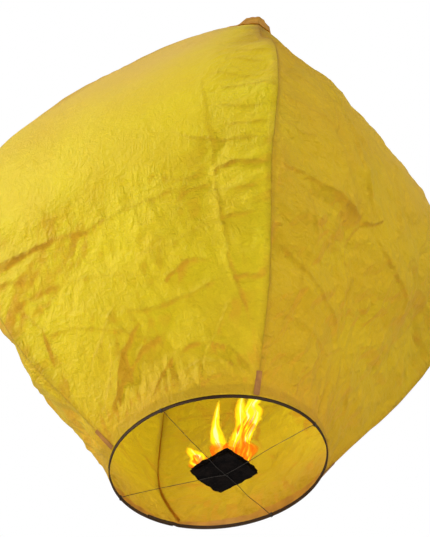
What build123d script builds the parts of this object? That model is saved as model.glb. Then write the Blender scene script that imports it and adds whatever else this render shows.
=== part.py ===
"""A four-sided paper sky lantern, standing on its bamboo hoop, with a burning pad on crossed wires.

The origin is the centre of the hoop's underside, +Z is up, and -Y is the front gore.
The envelope has four paper gores. It is round at the hoop and square at its belly, it is turned
a little in its neck, and it leans toward +X. Lengths are in millimetres and angles in degrees.
"""

import os
from math import cos, degrees, radians, sin

from build123d import *

# ---- driving dimensions: hoop ----
HOOP_RADIUS = 180.0
HOOP_THICKNESS = 2.2
HOOP_HEIGHT = 7.0
SPLICE_START = 148.0
SPLICE_ARC = 16.0
WIRE_HOLE_HEIGHT = 3.5
WIRE_HOLE_RADIUS = 0.8
RIVET_RADIUS = 0.9
RIVET_HEAD_RADIUS = 1.7
RIVET_HEAD = 0.5

# ---- driving dimensions: paper envelope ----
PAPER = 0.8  # stands in for thin tissue
CLEARANCE = 0.3
LEAN = 11.7
LEAN_HEIGHT = 430.0  # the spine curves below this height and is straight above it
CROWN_LEAN = 12.0  # the crown leans this much more than the belly
CROWN_LEAN_RANGE = (620.0, 900.0)
NECK_TURN = 6.8
NECK_TURN_HEIGHT = 400.0
GORE_FOOT = 5.0
CROWN_HEIGHT = 942.0
FOOT_HEIGHTS = [GORE_FOOT, 13.0, 21.0, 36.0]
BODY_STEP = 30.0
BODY_STEPS = 27
CROWN_HEIGHTS = [868.0, 890.0, 908.0, 922.0, CROWN_HEIGHT]
# height along the spine, distance of the seam and of the gore's middle from the spine
PROFILE = [
    (GORE_FOOT, 181.2, 181.2),
    (72.0, 238.0, 198.0),
    (180.0, 330.0, 261.0),
    (310.0, 402.0, 326.0),
    (436.0, 434.0, 355.0),
    (556.0, 408.0, 323.0),
    (676.0, 317.0, 251.0),
    (776.0, 210.0, 167.0),
    (856.0, 122.0, 100.0),
    (890.0, 78.0, 64.0),
    (908.0, 52.0, 42.0),
    (922.0, 33.0, 26.0),
    (CROWN_HEIGHT, 22.0, 16.0),
]
SIDES = {"front": -90.0, "right": 0.0, "back": 90.0, "left": 180.0}
SEAMS = {"front_right": -45.0, "back_right": 45.0, "back_left": 135.0, "front_left": 225.0}

# ---- driving dimensions: seams, hems, tabs and crown ----
FIN_WIDTH = 7.0
FIN_THICKNESS = 1.0
FIN_SETBACK = 2.4
FIN_RANGE = (36.0, 816.0)
HEM_HEIGHTS = (7.4, 13.0, 21.0)
TAB_HEIGHTS = (6.0, 13.0, 21.0, 36.0)
TAB_HALF_WIDTH = 5.0
TAB_THICKNESS = 0.6
PATCH_RANGE = (846.0, 868.0)
CAP_RANGE = (922.0, CROWN_HEIGHT)
CAP_THICKNESS = 1.2

# ---- driving dimensions: wires and fuel pad ----
WIRE_RADIUS = 0.5
WIRE_END = 9.0
WIRE_BEND = 1.2
PAD_CENTRE = (-9.0, 31.0)
PAD_TURN = -6.0
PAD_SIDE = 80.0
LAYER_THICKNESS = 3.9
LAYER_PITCH = 4.0
LAYER_NAMES = ["fuel_layer_lower", "fuel_layer_middle", "fuel_layer_upper"]
PAD_FOOT = 4.5
TIE_RADIUS = 0.4
TIE_SPAN = 14.0
TIE_FOOT = 1.2
TIE_TOP = 24.0
TIE_HOLE_RADIUS = 0.8
WIRE_ENDS = {"left": 187.9, "right": 3.3, "front": 272.0, "back": 92.9}
SIDE_WIRE_DIP = 2.4
CROSS_WIRE_DIP = 3.65


def smooth(share):
    """Ease a share from 0 to 1 with no slope at either end."""
    share = min(max(share, 0.0), 1.0)
    return share * share * (3.0 - 2.0 * share)


def polar(radius, angle):
    """Return the point at a radius and an angle in degrees."""
    return radius * cos(radians(angle)), radius * sin(radians(angle))


def tilt(height):
    """Return the lean of the spine at a height along it."""
    low, high = CROWN_LEAN_RANGE
    return LEAN * smooth(height / LEAN_HEIGHT) + CROWN_LEAN * smooth((height - low) / (high - low))


def spine_plane(height):
    """Return the plane across the spine at a height along it."""
    steps = 60
    step = height / steps
    middles = [tilt((i + 0.5) * step) for i in range(steps)]
    x = sum(sin(radians(a)) for a in middles) * step
    z = sum(cos(radians(a)) for a in middles) * step
    lean = radians(tilt(height))
    return Plane(origin=(x, 0, z), x_dir=(cos(lean), 0, -sin(lean)), z_dir=(sin(lean), 0, cos(lean)))


def turn(height):
    """Return how far the section is turned about the spine at a height."""
    return NECK_TURN * (1.0 - smooth(height / NECK_TURN_HEIGHT))


def radii(height):
    """Return the seam radius and the side radius at a height, by a smooth curve through PROFILE."""
    last = len(PROFILE) - 2
    index = max(i for i in range(last + 1) if PROFILE[i][0] <= height + 1e-6)
    low, high = PROFILE[index], PROFILE[index + 1]
    before, after = PROFILE[max(index - 1, 0)], PROFILE[min(index + 2, last + 1)]
    span = high[0] - low[0]
    t = (height - low[0]) / span
    found = []
    for k in (1, 2):
        slope_low = (high[k] - before[k]) / (high[0] - before[0]) * span
        slope_high = (after[k] - low[k]) / (after[0] - low[0]) * span
        ease = smooth(t)
        start = t * (1 - t) ** 2 * slope_low
        end = t * t * (1 - t) * slope_high
        found.append(low[k] + (high[k] - low[k]) * ease + start - end)
    return tuple(found)


def stations(low, high):
    """Return the heights of the envelope's sections from low to high."""
    body = [FOOT_HEIGHTS[-1] + BODY_STEP * i for i in range(1, BODY_STEPS + 1)]
    return [h for h in FOOT_HEIGHTS + body + CROWN_HEIGHTS if low <= h <= high]


def side_arc(height, centre, depth, gap=0.0):
    """Return the start, middle and end of one side's arc, sunk by a depth below the paper's outside."""
    corner, middle = radii(height)
    half = 45.0 - degrees(gap / corner)
    sunk_corner = corner - depth * 1.3
    return (
        polar(sunk_corner, centre - half),
        polar(middle - depth, centre),
        polar(sunk_corner, centre + half),
    )


def finish(build, name):
    """Label a finished piece and write it."""
    build.part.label = name
    export_step(build.part, f"parts/{name}.step")


def paper_strip(name, side, heights, outer_depth, inner_depth):
    """Make one side's strip of paper through the given heights, between two depths."""
    with BuildPart() as strip:
        for height in heights:
            centre = SIDES[side] + turn(height)
            outer = side_arc(height, centre, outer_depth, CLEARANCE / 2)
            inner = side_arc(height, centre, inner_depth, CLEARANCE / 2)
            with BuildSketch(spine_plane(height)):
                with BuildLine():
                    ThreePointArc(*outer)
                    Line(outer[2], inner[2])
                    ThreePointArc(inner[2], inner[1], inner[0])
                    Line(inner[0], outer[0])
                make_face()
        loft(ruled=True)
    finish(strip, name)


def envelope_core(heights, depth, lid=0.0):
    """Return the solid inside all four sides through the given heights, sunk by a depth."""
    with BuildPart() as core:
        for height in heights:
            with BuildSketch(spine_plane(height)):
                with BuildLine():
                    for side_angle in SIDES.values():
                        ThreePointArc(*side_arc(height, side_angle + turn(height), depth))
                make_face()
        loft(ruled=True)
        if lid:
            extrude(core.faces().filter_by(GeomType.PLANE).sort_by(Axis.Z)[-1], amount=lid)
    return core.part


os.makedirs("parts", exist_ok=True)

# ---- bamboo hoop: one strip whose ends lap on the inside ----
strip_inner = HOOP_RADIUS - HOOP_THICKNESS
with BuildPart() as hoop:
    with BuildSketch():
        Circle(HOOP_RADIUS)
        Circle(strip_inner, mode=Mode.SUBTRACT)
    extrude(amount=HOOP_HEIGHT)
    with BuildSketch():
        with BuildLine():
            lap_outer = CenterArc((0, 0), strip_inner + 0.1, SPLICE_START, SPLICE_ARC)
            lap_inner = CenterArc((0, 0), strip_inner - HOOP_THICKNESS, SPLICE_START, SPLICE_ARC)
            Line(lap_outer @ 0, lap_inner @ 0)
            Line(lap_outer @ 1, lap_inner @ 1)
        make_face()
    extrude(amount=HOOP_HEIGHT)
    for angle in WIRE_ENDS.values():
        hole_plane = Plane(origin=(0, 0, WIRE_HOLE_HEIGHT), z_dir=(*polar(1, angle), 0))
        with BuildSketch(hole_plane.offset(HOOP_RADIUS - 5.0)):
            Circle(WIRE_HOLE_RADIUS)
        extrude(amount=10.0, mode=Mode.SUBTRACT)
    for share in (0.25, 0.75):
        rivet_plane = Plane(
            origin=(0, 0, HOOP_HEIGHT / 2), z_dir=(*polar(1, SPLICE_START + SPLICE_ARC * share), 0)
        )
        with BuildSketch(rivet_plane.offset(HOOP_RADIUS - 10.0)):
            Circle(RIVET_RADIUS + 0.05)
        extrude(amount=20.0, mode=Mode.SUBTRACT)
finish(hoop, "hoop")

# ---- two small rivets through the lapped ends, with a flush outer head and a domed inner one ----
for number, share in enumerate((0.25, 0.75), start=1):
    rivet_plane = Plane(
        origin=(0, 0, HOOP_HEIGHT / 2), z_dir=(*polar(1, SPLICE_START + SPLICE_ARC * share), 0)
    )
    inner_face = strip_inner - HOOP_THICKNESS
    with BuildPart() as rivet:
        with BuildSketch(rivet_plane.offset(inner_face - RIVET_HEAD)):
            Circle(RIVET_RADIUS)
        extrude(amount=HOOP_RADIUS - inner_face + RIVET_HEAD)
        with BuildSketch(rivet_plane.offset(inner_face - RIVET_HEAD)):
            Circle(RIVET_HEAD_RADIUS)
        extrude(amount=RIVET_HEAD - 0.05)
    finish(rivet, f"hoop_rivet_{number}")

# ---- four paper gores, from the hoop to the crown ----
for side in SIDES:
    paper_strip(f"gore_{side}", side, stations(GORE_FOOT, CROWN_HEIGHT), 0.0, PAPER)

# ---- four hem strips, which hold the gores' feet to the inside of the hoop ----
for side in SIDES:
    paper_strip(
        f"hem_{side}", side, HEM_HEIGHTS, PAPER + 1.5 * CLEARANCE, 2 * PAPER + CLEARANCE
    )

# ---- four seam fins: the gores' glued margins, standing inward in the corners ----
for seam, seam_angle in SEAMS.items():
    with BuildPart() as fin:
        for height in stations(*FIN_RANGE):
            corner = radii(height)[0]
            width = FIN_WIDTH * min(1.0, corner / 60.0)
            angle = seam_angle + turn(height)
            fin_centre = polar(corner - FIN_SETBACK - width / 2, angle)
            with BuildSketch(spine_plane(height)):
                with Locations(Location((*fin_centre, 0), (0, 0, angle))):
                    Rectangle(width, FIN_THICKNESS)
        loft(ruled=True)
    finish(fin, f"seam_{seam}")

# ---- four tabs glued over the feet of the seams ----
for seam, seam_angle in SEAMS.items():
    with BuildPart() as tab:
        for height in TAB_HEIGHTS:
            corner, middle = radii(height)
            half = degrees(TAB_HALF_WIDTH / corner)
            drop = (corner - middle) * half / 45.0 * 1.6
            angle = seam_angle + turn(height)
            low = corner + 2 * CLEARANCE
            high = low + TAB_THICKNESS
            outline = [
                polar(low - drop, angle - half),
                polar(low, angle),
                polar(low - drop, angle + half),
                polar(high - drop, angle + half),
                polar(high, angle),
                polar(high - drop, angle - half),
            ]
            with BuildSketch(spine_plane(height)):
                with BuildLine():
                    Polyline(*outline, close=True)
                make_face()
        loft(ruled=True)
    finish(tab, f"foot_tab_{seam}")

# ---- crown patch: a paper collar glued inside the gathered top ----
with BuildPart() as crown_patch:
    add(envelope_core(stations(*PATCH_RANGE), PAPER + 2 * CLEARANCE))
    add(envelope_core(stations(*PATCH_RANGE), 2 * PAPER + 2 * CLEARANCE), mode=Mode.SUBTRACT)
finish(crown_patch, "crown_patch")

# ---- crown tip: a square folded paper cap over the gathered ends of the gores ----
with BuildPart() as crown_tip:
    add(envelope_core(stations(*CAP_RANGE), -CLEARANCE - CAP_THICKNESS, lid=CLEARANCE + CAP_THICKNESS))
    add(envelope_core(stations(*CAP_RANGE), -CLEARANCE, lid=CLEARANCE), mode=Mode.SUBTRACT)
finish(crown_tip, "crown_tip")


def wire_route(start, end, dip):
    """Return a wire's points from hoop to hoop, through its low crossing under the pad."""
    inside = HOOP_RADIUS - 12.0
    outside = HOOP_RADIUS + WIRE_RADIUS + 0.1
    centre = (*PAD_CENTRE, dip)
    points = [centre]
    for name in (start, end):
        angle = WIRE_ENDS[name]
        entry = (*polar(inside, angle), WIRE_HOLE_HEIGHT)
        bend = (*polar(outside, angle), WIRE_HOLE_HEIGHT)
        side = polar(WIRE_END, angle + 90.0)
        tip_radius = (outside**2 + WIRE_END**2) ** 0.5 / outside
        tip = ((bend[0] + side[0]) / tip_radius, (bend[1] + side[1]) / tip_radius, WIRE_HOLE_HEIGHT)
        run = [entry, bend, tip]
        points = run[::-1] + points if name == start else points + run
    return points


# ---- two crossed wires, each through the hoop with its ends bent along the outside ----
for name, start, end, dip in (
    ("wire_side", "left", "right", SIDE_WIRE_DIP),
    ("wire_cross", "front", "back", CROSS_WIRE_DIP),
):
    route = wire_route(start, end, dip)
    with BuildPart() as wire:
        with BuildLine() as path:
            FilletPolyline(*route, radius=WIRE_BEND)
        with BuildSketch(Plane(origin=path.line @ 0, z_dir=path.line % 0)):
            Circle(WIRE_RADIUS)
        sweep()
    finish(wire, name)

# ---- wire tie under the crossing, with two legs that the pad is threaded on ----
pad_plane = Plane(origin=(*PAD_CENTRE, 0), x_dir=(*polar(1, PAD_TURN + 45.0), 0), z_dir=(0, 0, 1))
tie_plane = Plane(
    origin=(*PAD_CENTRE, 0), x_dir=(*polar(1, PAD_TURN + 45.0), 0), z_dir=(*polar(1, PAD_TURN - 45.0), 0)
)
with BuildPart() as wire_tie:
    with BuildLine(tie_plane) as tie_path:
        FilletPolyline(
            (-TIE_SPAN / 2, TIE_TOP),
            (-TIE_SPAN / 2, TIE_FOOT),
            (TIE_SPAN / 2, TIE_FOOT),
            (TIE_SPAN / 2, TIE_TOP),
            radius=1.0,
        )
    with BuildSketch(Plane(origin=tie_path.line @ 0, z_dir=tie_path.line % 0)):
        Circle(TIE_RADIUS)
    sweep()
finish(wire_tie, "wire_tie")

# ---- fuel pad: square layers of waxed board, with two holes for the tie's legs ----
for number, name in enumerate(LAYER_NAMES):
    foot = PAD_FOOT + number * LAYER_PITCH
    with BuildPart() as layer:
        with BuildSketch(pad_plane.offset(foot)):
            Rectangle(PAD_SIDE, PAD_SIDE, rotation=45.0)
            with Locations((-TIE_SPAN / 2, 0), (TIE_SPAN / 2, 0)):
                Circle(TIE_HOLE_RADIUS, mode=Mode.SUBTRACT)
        extrude(amount=LAYER_THICKNESS)
        fillet(layer.edges().filter_by(Axis.Z).filter_by(GeomType.LINE), 4.0)
    finish(layer, name)
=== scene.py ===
"""Looks of a four-gored paper sky lantern with a burning pad.

The envelope is made of crumpled tissue over the same sections as the frame's gores. The hoop, its
wires, the pad and the flames are built round the frame's own nodes. Lengths are in metres; the
folds in the paper are listed in millimetres, and MM turns them into metres.
"""

from __future__ import annotations

import logging
import math
from dataclasses import dataclass, field
from enum import Enum
from typing import Any, Sequence

import bpy
import numpy as np
from mathutils import Matrix, Vector


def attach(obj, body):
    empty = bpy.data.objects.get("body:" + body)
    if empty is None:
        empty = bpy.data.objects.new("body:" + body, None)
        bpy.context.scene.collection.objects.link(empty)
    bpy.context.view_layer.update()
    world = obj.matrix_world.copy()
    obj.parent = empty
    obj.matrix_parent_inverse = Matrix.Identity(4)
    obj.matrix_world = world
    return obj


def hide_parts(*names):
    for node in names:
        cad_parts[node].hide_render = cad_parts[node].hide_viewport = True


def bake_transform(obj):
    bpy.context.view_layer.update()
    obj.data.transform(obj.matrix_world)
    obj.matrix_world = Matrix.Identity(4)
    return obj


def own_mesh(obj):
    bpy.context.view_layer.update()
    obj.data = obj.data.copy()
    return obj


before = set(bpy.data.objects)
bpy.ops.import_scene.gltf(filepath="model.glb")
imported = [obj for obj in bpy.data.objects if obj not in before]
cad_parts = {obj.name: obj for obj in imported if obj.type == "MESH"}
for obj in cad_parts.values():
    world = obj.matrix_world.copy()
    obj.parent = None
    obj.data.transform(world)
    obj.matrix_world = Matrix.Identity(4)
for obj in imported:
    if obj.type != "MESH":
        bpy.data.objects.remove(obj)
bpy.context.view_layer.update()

MM = 0.001
SEED = 7
EIGHTH_TURN = math.pi / 4
LOG = logging.getLogger("lantern")

Colour = tuple[float, float, float, float]
Faces = list[tuple[int, ...]]
Extras = dict[Any, Any] | None


# ---------------------------------------------------------------- shader tools
class Value:
    """One number in a shader; arithmetic on it adds the Math nodes."""

    def __init__(self, tree: bpy.types.NodeTree, socket: bpy.types.NodeSocket) -> None:
        """Wrap an output socket of a tree."""
        self.tree = tree
        self.socket = socket

    def _math(self, operation: str, first: Any, second: Any = None) -> "Value":
        """Add one Math node.

        Args:
            operation: the Math node's operation.
            first: its first value, a number or a Value.
            second: its second value, or None where it takes one.

        Returns:
            The node's result.
        """
        node = self.tree.nodes.new("ShaderNodeMath")
        node.operation = operation
        for index, item in enumerate((first, second)):
            if isinstance(item, Value):
                self.tree.links.new(item.socket, node.inputs[index])
            elif item is not None:
                node.inputs[index].default_value = float(item)
        return Value(self.tree, node.outputs[0])

    def __add__(self, other: Any) -> "Value":
        """Return self + other."""
        return self._math("ADD", self, other)

    __radd__ = __add__

    def __sub__(self, other: Any) -> "Value":
        """Return self - other."""
        return self._math("SUBTRACT", self, other)

    def __rsub__(self, other: Any) -> "Value":
        """Return other - self."""
        return self._math("SUBTRACT", other, self)

    def __mul__(self, other: Any) -> "Value":
        """Return self * other."""
        return self._math("MULTIPLY", self, other)

    __rmul__ = __mul__

    def __pow__(self, other: Any) -> "Value":
        """Return self raised to other."""
        return self._math("POWER", self, other)

    def size(self) -> "Value":
        """Return self without its sign."""
        return self._math("ABSOLUTE", self)

    def held(self, low: float = 0.0, high: float = 1.0) -> "Value":
        """Return self kept between two limits."""
        return self._math("MAXIMUM", self._math("MINIMUM", self, high), low)

    def angle_to(self, other: "Value") -> "Value":
        """Return the angle of the point (other, self) about the origin."""
        return self._math("ARCTAN2", self, other)


class Shader:
    """One material under construction."""

    def __init__(self, name: str) -> None:
        """Start an empty material with an output node."""
        self.material = bpy.data.materials.new(name)
        self.material.use_nodes = True
        self.tree = self.material.node_tree
        self.tree.nodes.clear()
        self.output = self.tree.nodes.new("ShaderNodeOutputMaterial")

    def node(self, kind: str, settings: Extras = None, inputs: Extras = None) -> bpy.types.Node:
        """Add a node.

        Args:
            kind: the node's type, without its ShaderNode prefix.
            settings: its own properties; "stops" sets a ramp's colours.
            inputs: values, Values, sockets or nodes for its inputs, by name or number.

        Returns:
            The new node.
        """
        made = self.tree.nodes.new("ShaderNode" + kind)
        for key, item in (settings or {}).items():
            if key == "stops":
                ramp = made.color_ramp.elements
                while len(ramp) < len(item):
                    ramp.new(0.5)
                for element, (place, colour) in zip(ramp, item):
                    element.position = place
                    element.color = colour
            else:
                setattr(made, key, item)
        for key, item in (inputs or {}).items():
            if isinstance(item, Value):
                self.tree.links.new(item.socket, made.inputs[key])
            elif isinstance(item, bpy.types.NodeSocket):
                self.tree.links.new(item, made.inputs[key])
            elif isinstance(item, bpy.types.Node):
                self.tree.links.new(item.outputs[0], made.inputs[key])
            else:
                made.inputs[key].default_value = item
        return made

    def value(self, kind: str, output: Any = 0, settings: Extras = None, inputs: Extras = None) -> Value:
        """Add a node and return one of its outputs as a Value."""
        return Value(self.tree, self.node(kind, settings, inputs).outputs[output])

    def mix(self, share: Any, first: Any, second: Any, blend: str = "MIX") -> bpy.types.NodeSocket:
        """Mix two colours.

        Args:
            share: how much of the second, a number or a Value.
            first: the first colour or its socket.
            second: the second colour or its socket.
            blend: the way they are mixed.

        Returns:
            The mixed colour's socket.
        """
        settings = {"data_type": "RGBA", "blend_type": blend}
        return self.node("Mix", settings, {0: share, 6: first, 7: second}).outputs[2]

    def attribute(self, name: str) -> Value:
        """Return a number that the mesh carries at each point."""
        return self.value("Attribute", "Fac", {"attribute_name": name})

    def noise(self, vector: Any, scale: float, detail: float = 2.0, roughness: float = 0.5) -> Value:
        """Return a noise pattern from 0 to 1."""
        inputs = {"Vector": vector, "Scale": scale, "Detail": detail, "Roughness": roughness}
        return self.value("TexNoise", 0, None, inputs)

    def stretched(self, vector: Any, scale: Sequence[float]) -> bpy.types.NodeSocket:
        """Return coordinates scaled differently along each axis."""
        return self.node("Mapping", None, {"Vector": vector, "Scale": scale}).outputs[0]

    def bump(self, height: Value, strength: float, distance: float) -> bpy.types.NodeSocket:
        """Return a normal disturbed by a height."""
        inputs = {"Strength": strength, "Distance": distance, "Height": height}
        return self.node("Bump", None, inputs).outputs[0]

    def surface(self, shader: bpy.types.Node) -> bpy.types.Material:
        """Join a shader to the output and return the finished material."""
        self.tree.links.new(shader.outputs[0], self.output.inputs["Surface"])
        return self.material


# ---------------------------------------------------------------- finishes
@dataclass(frozen=True)
class TissueFinish:
    """Thin crumpled yellow tissue that lets light through."""

    bright: Colour = (0.70, 0.60, 0.008, 1.0)
    # darker, more orange yellow for the gores turned from the key light: partly painted shade
    shaded_gold: Colour = (0.50, 0.325, 0.008, 1.0)
    amber: Colour = (0.66, 0.37, 0.015, 1.0)
    # pinkish-tan painted sheen for the upper paper near the gores' edges
    blush: Colour = (0.70, 0.48, 0.11, 1.0)
    # brown of the painted shade in the creases, also used for the darker bands along the seams and near the
    # top corners
    crease: Colour = (0.34, 0.15, 0.006, 1.0)
    glow: Colour = (0.74, 0.62, 0.09, 1.0)
    let_through: float = 0.42

    def make(self, name: str = "tissue") -> bpy.types.Material:
        """Build the material.

        Returns:
            A material that reads the paper's flat UV map and its own colour attributes, which also carry
            painted shade and painted sheen.
        """
        s = Shader(name)
        flat = s.node("UVMap", {"uv_map": "flat"}).outputs[0]
        mottle = s.noise(flat, 9.0, 3.0, 0.55)
        grain = s.noise(flat, 420.0, 2.0, 0.6)
        fibre = s.noise(s.stretched(flat, (90.0, 700.0, 1.0)), 1.0, 3.0, 0.6)
        wander = s.node("TexNoise", None, {"Vector": flat, "Scale": 38.0, "Detail": 2.0}).outputs[1]
        bent = s.node(
            "VectorMath", {"operation": "MULTIPLY_ADD"}, {0: wander, 1: (0.016, 0.016, 0.0), 2: flat}
        ).outputs[0]
        sharp = (s.noise(bent, 34.0, 3.0, 0.55) - 0.5).size()
        across = (s.noise(s.stretched(bent, (46.0, 95.0, 1.0)), 1.0, 3.0, 0.6) - 0.5).size()
        upward = (s.noise(s.stretched(bent, (120.0, 40.0, 1.0)), 1.0, 3.0, 0.6) - 0.5).size()
        # painted shade: darker where the bump pattern dips into narrow creases
        valley_shade = (1.0 - sharp * 16.0).held() * 0.6 + (1.0 - across * 14.0).held() * 0.5
        rough = s.attribute("rough")
        # each gore's yellow with mottle; the darker golden side gores are partly painted shade
        tone = (s.attribute("tone") + (mottle - 0.5) * 0.6).held()
        colour = s.mix(tone, self.bright, self.shaded_gold)
        # amber: each gore's own warmth, more at the foot and above the hoop, with painted shade on fold
        # slopes turned from the key light and a little painted sheen up top
        colour = s.mix((s.attribute("warm") + (mottle - 0.5) * 0.4).held(), colour, self.amber)
        # painted sheen: pinkish-tan on the upper paper near the gores' edges
        colour = s.mix(s.attribute("blush").held(), colour, self.blush)
        # painted shade in the creases and bump dips, with the darker bands along the seams and near the top
        # corners
        glue_and_crease_shade = s.attribute("fold") * (0.7 + 0.6 * grain) + valley_shade * rough * 0.13
        colour = s.mix(glue_and_crease_shade.held(0.0, 0.9), colour, self.crease)
        shade = (1.0 - (grain - 0.5) * 0.34 - (fibre - 0.5) * 0.16).held(0.0, 2.0)
        shade_colour = s.node("CombineColor", None, {0: shade, 1: shade, 2: shade}).outputs[0]
        colour = s.mix(1.0, colour, shade_colour, "MULTIPLY")
        height = (sharp * 3.8 + across * 2.4 + upward * 2.0).held(0.0, 3.0) * rough + grain * 0.22
        inputs = {
            "Base Color": colour,
            "Roughness": (0.50 + grain * 0.2).held(),
            "Specular IOR Level": 0.2,
            "Sheen Weight": 0.05,
            "Normal": s.bump(height, 1.0, 0.0030),
        }
        paper = s.node("BsdfPrincipled", None, inputs)
        through = s.node("BsdfTranslucent", None, {"Color": self.glow})
        return s.surface(s.node("MixShader", None, {0: self.let_through, 1: paper, 2: through}))


@dataclass(frozen=True)
class GluedTissueFinish:
    """Doubled tissue, darkened and stiffened by glue."""

    light: Colour = (0.72, 0.42, 0.045, 1.0)
    dark: Colour = (0.44, 0.20, 0.020, 1.0)
    through: Colour = (0.75, 0.46, 0.06, 1.0)
    let_through: float = 0.5

    def make(self, name: str = "glued_tissue") -> bpy.types.Material:
        """Build the material."""
        s = Shader(name)
        place = s.node("TexCoord").outputs["Object"]
        blot = s.noise(place, 60.0, 4.0, 0.6)
        grain = s.noise(place, 500.0, 2.0)
        colour = s.mix(((blot - 0.35) * 2.6).held(), self.light, self.dark)
        colour = s.mix((grain * 0.3).held(), colour, self.dark)
        inputs = {
            "Base Color": colour,
            "Roughness": (0.45 + blot * 0.3).held(),
            "Normal": s.bump(blot * 0.8 + grain * 0.3, 0.7, 0.0015),
        }
        paper = s.node("BsdfPrincipled", None, inputs)
        through = s.node("BsdfTranslucent", None, {"Color": self.through})
        return s.surface(s.node("MixShader", None, {0: self.let_through, 1: paper, 2: through}))


@dataclass(frozen=True)
class BambooFinish:
    """A split bamboo strip, coloured a very dark brown."""

    pale: Colour = (0.050, 0.025, 0.010, 1.0)
    brown: Colour = (0.012, 0.006, 0.003, 1.0)
    radius: float = 0.18

    def make(self, name: str = "bamboo") -> bpy.types.Material:
        """Build the material, with fibres that run round the hoop."""
        s = Shader(name)
        place = s.node("TexCoord").outputs["Object"]
        parts = s.node("SeparateXYZ", None, {0: place})
        x, y, z = (Value(s.tree, parts.outputs[i]) for i in range(3))
        run = y.angle_to(x) * self.radius
        along = s.node("CombineXYZ", None, {0: run * 14.0, 1: z * 1500.0, 2: (x * x + y * y) ** 0.5 * 1500.0})
        fibre = s.noise(along.outputs[0], 1.0, 4.0, 0.65)
        blot = s.noise(place, 16.0, 3.0)
        colour = s.mix(((fibre - 0.3) * 1.8).held(), self.pale, self.brown)
        colour = s.mix(((blot - 0.4) * 1.6).held(0.0, 0.8), colour, self.brown)
        inputs = {
            "Base Color": colour,
            "Roughness": (0.6 + fibre * 0.3).held(),
            "Specular IOR Level": 0.15,
            "Normal": s.bump(fibre, 0.6, 0.0004),
        }
        return s.surface(s.node("BsdfPrincipled", None, inputs))


@dataclass(frozen=True)
class WireFinish:
    """Thin iron wire with a dull heat-blued skin."""

    steel: Colour = (0.03, 0.022, 0.016, 1.0)
    scale: Colour = (0.010, 0.007, 0.005, 1.0)

    def make(self, name: str = "wire") -> bpy.types.Material:
        """Build the material."""
        s = Shader(name)
        place = s.node("TexCoord").outputs["Object"]
        blot = s.noise(place, 120.0, 3.0, 0.6)
        rust = ((blot - 0.42) * 4.0).held()
        inputs = {
            "Base Color": s.mix(rust, self.steel, self.scale),
            "Metallic": 0.5 - rust * 0.4,
            "Roughness": (0.45 + rust * 0.4).held(),
            "Normal": s.bump(blot, 0.4, 0.0002),
        }
        return s.surface(s.node("BsdfPrincipled", None, inputs))


@dataclass(frozen=True)
class CharFinish:
    """Waxed board burnt black, with a little ash on it."""

    coal: Colour = (0.002, 0.0015, 0.0015, 1.0)
    soot: Colour = (0.009, 0.006, 0.005, 1.0)
    ash: Colour = (0.045, 0.032, 0.028, 1.0)
    ash_share: float = 0.08

    def make(self, name: str = "char") -> bpy.types.Material:
        """Build the material."""
        s = Shader(name)
        place = s.node("TexCoord").outputs["Object"]
        cell = s.value("TexVoronoi", 0, {"feature": "DISTANCE_TO_EDGE"}, {"Vector": place, "Scale": 110.0})
        lump = s.noise(place, 60.0, 5.0, 0.65)
        flake = s.noise(place, 260.0, 3.0, 0.7)
        colour = s.mix(((lump - 0.4) * 3.0).held(), self.coal, self.soot)
        colour = s.mix(((flake - 0.62) * 7.0).held(0.0, self.ash_share * 3.0), colour, self.ash)
        height = cell.held(0.0, 0.2) * 2.0 + lump * 1.4 + flake * 0.4
        inputs = {
            "Base Color": colour,
            "Roughness": (0.7 + flake * 0.3).held(),
            "Specular IOR Level": 0.04,
            "Normal": s.bump(height, 0.9, 0.002),
        }
        return s.surface(s.node("BsdfPrincipled", None, inputs))


@dataclass(frozen=True)
class FlameFinish:
    """Burning wax vapour: orange at its foot and edge, then yellow, with a pale heart."""

    edge: Colour = (1.0, 0.36, 0.004, 1.0)
    body: Colour = (1.0, 0.78, 0.012, 1.0)
    heart: Colour = (1.0, 0.96, 0.34, 1.0)
    strength: float = 1.2
    cover: float = 1.0

    def make(self, name: str) -> bpy.types.Material:
        """Build the material.

        Returns:
            A glowing material that reads "rise", 0 at the foot and 1 at the tip, and "edge", 0 along
            the middle of a leaf and 1 at its sides.
        """
        s = Shader(name)
        rise = s.attribute("rise")
        edge = s.attribute("edge")
        place = s.stretched(s.node("TexCoord").outputs["Object"], (70.0, 70.0, 26.0))
        lick = s.noise(place, 1.0, 4.0, 0.55)
        warmth = 1.15 - edge * 1.15 + (lick - 0.5) * 1.3
        heat = (warmth - (0.22 - rise).held() * 2.2 - (rise - 0.7).held() * 0.9).held()
        stops = [(0.0, self.edge), (0.30, self.body), (0.66, self.body), (0.92, self.heart)]
        colour = s.node("ValToRGB", {"stops": stops}, {0: heat}).outputs[0]
        side = ((1.0 - edge + (lick - 0.5) * 0.5) * 2.6).held()
        tip = ((1.0 - rise) * 4.0).held()
        inputs = {
            "Base Color": (0.0, 0.0, 0.0, 1.0),
            "Roughness": 1.0,
            "Specular IOR Level": 0.0,
            "Emission Color": colour,
            "Emission Strength": self.strength,
            "Alpha": (side * tip * self.cover).held(),
        }
        return s.surface(s.node("BsdfPrincipled", None, inputs))


# ---------------------------------------------------------------- mesh tools
def link(name: str, data: bpy.types.ID) -> bpy.types.Object:
    """Make an object from its data and link it to the scene."""
    made = bpy.data.objects.new(name, data)
    bpy.context.scene.collection.objects.link(made)
    return made


def make_piece(
    name: str, points: np.ndarray, faces: Faces, material: bpy.types.Material, smooth: bool = True
) -> bpy.types.Object:
    """Make an object from points and faces.

    Args:
        name: the piece's name.
        points: its points, one row each.
        faces: its faces, by point numbers, wound outwards.
        material: its finish.
        smooth: whether it is shaded smooth.

    Returns:
        The new object, linked to the scene.
    """
    mesh = bpy.data.meshes.new(name)
    mesh.from_pydata([tuple(p) for p in points], [], faces)
    mesh.validate()
    mesh.materials.append(material)
    mesh.polygons.foreach_set("use_smooth", [smooth] * len(mesh.polygons))
    return link(name, mesh)


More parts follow.
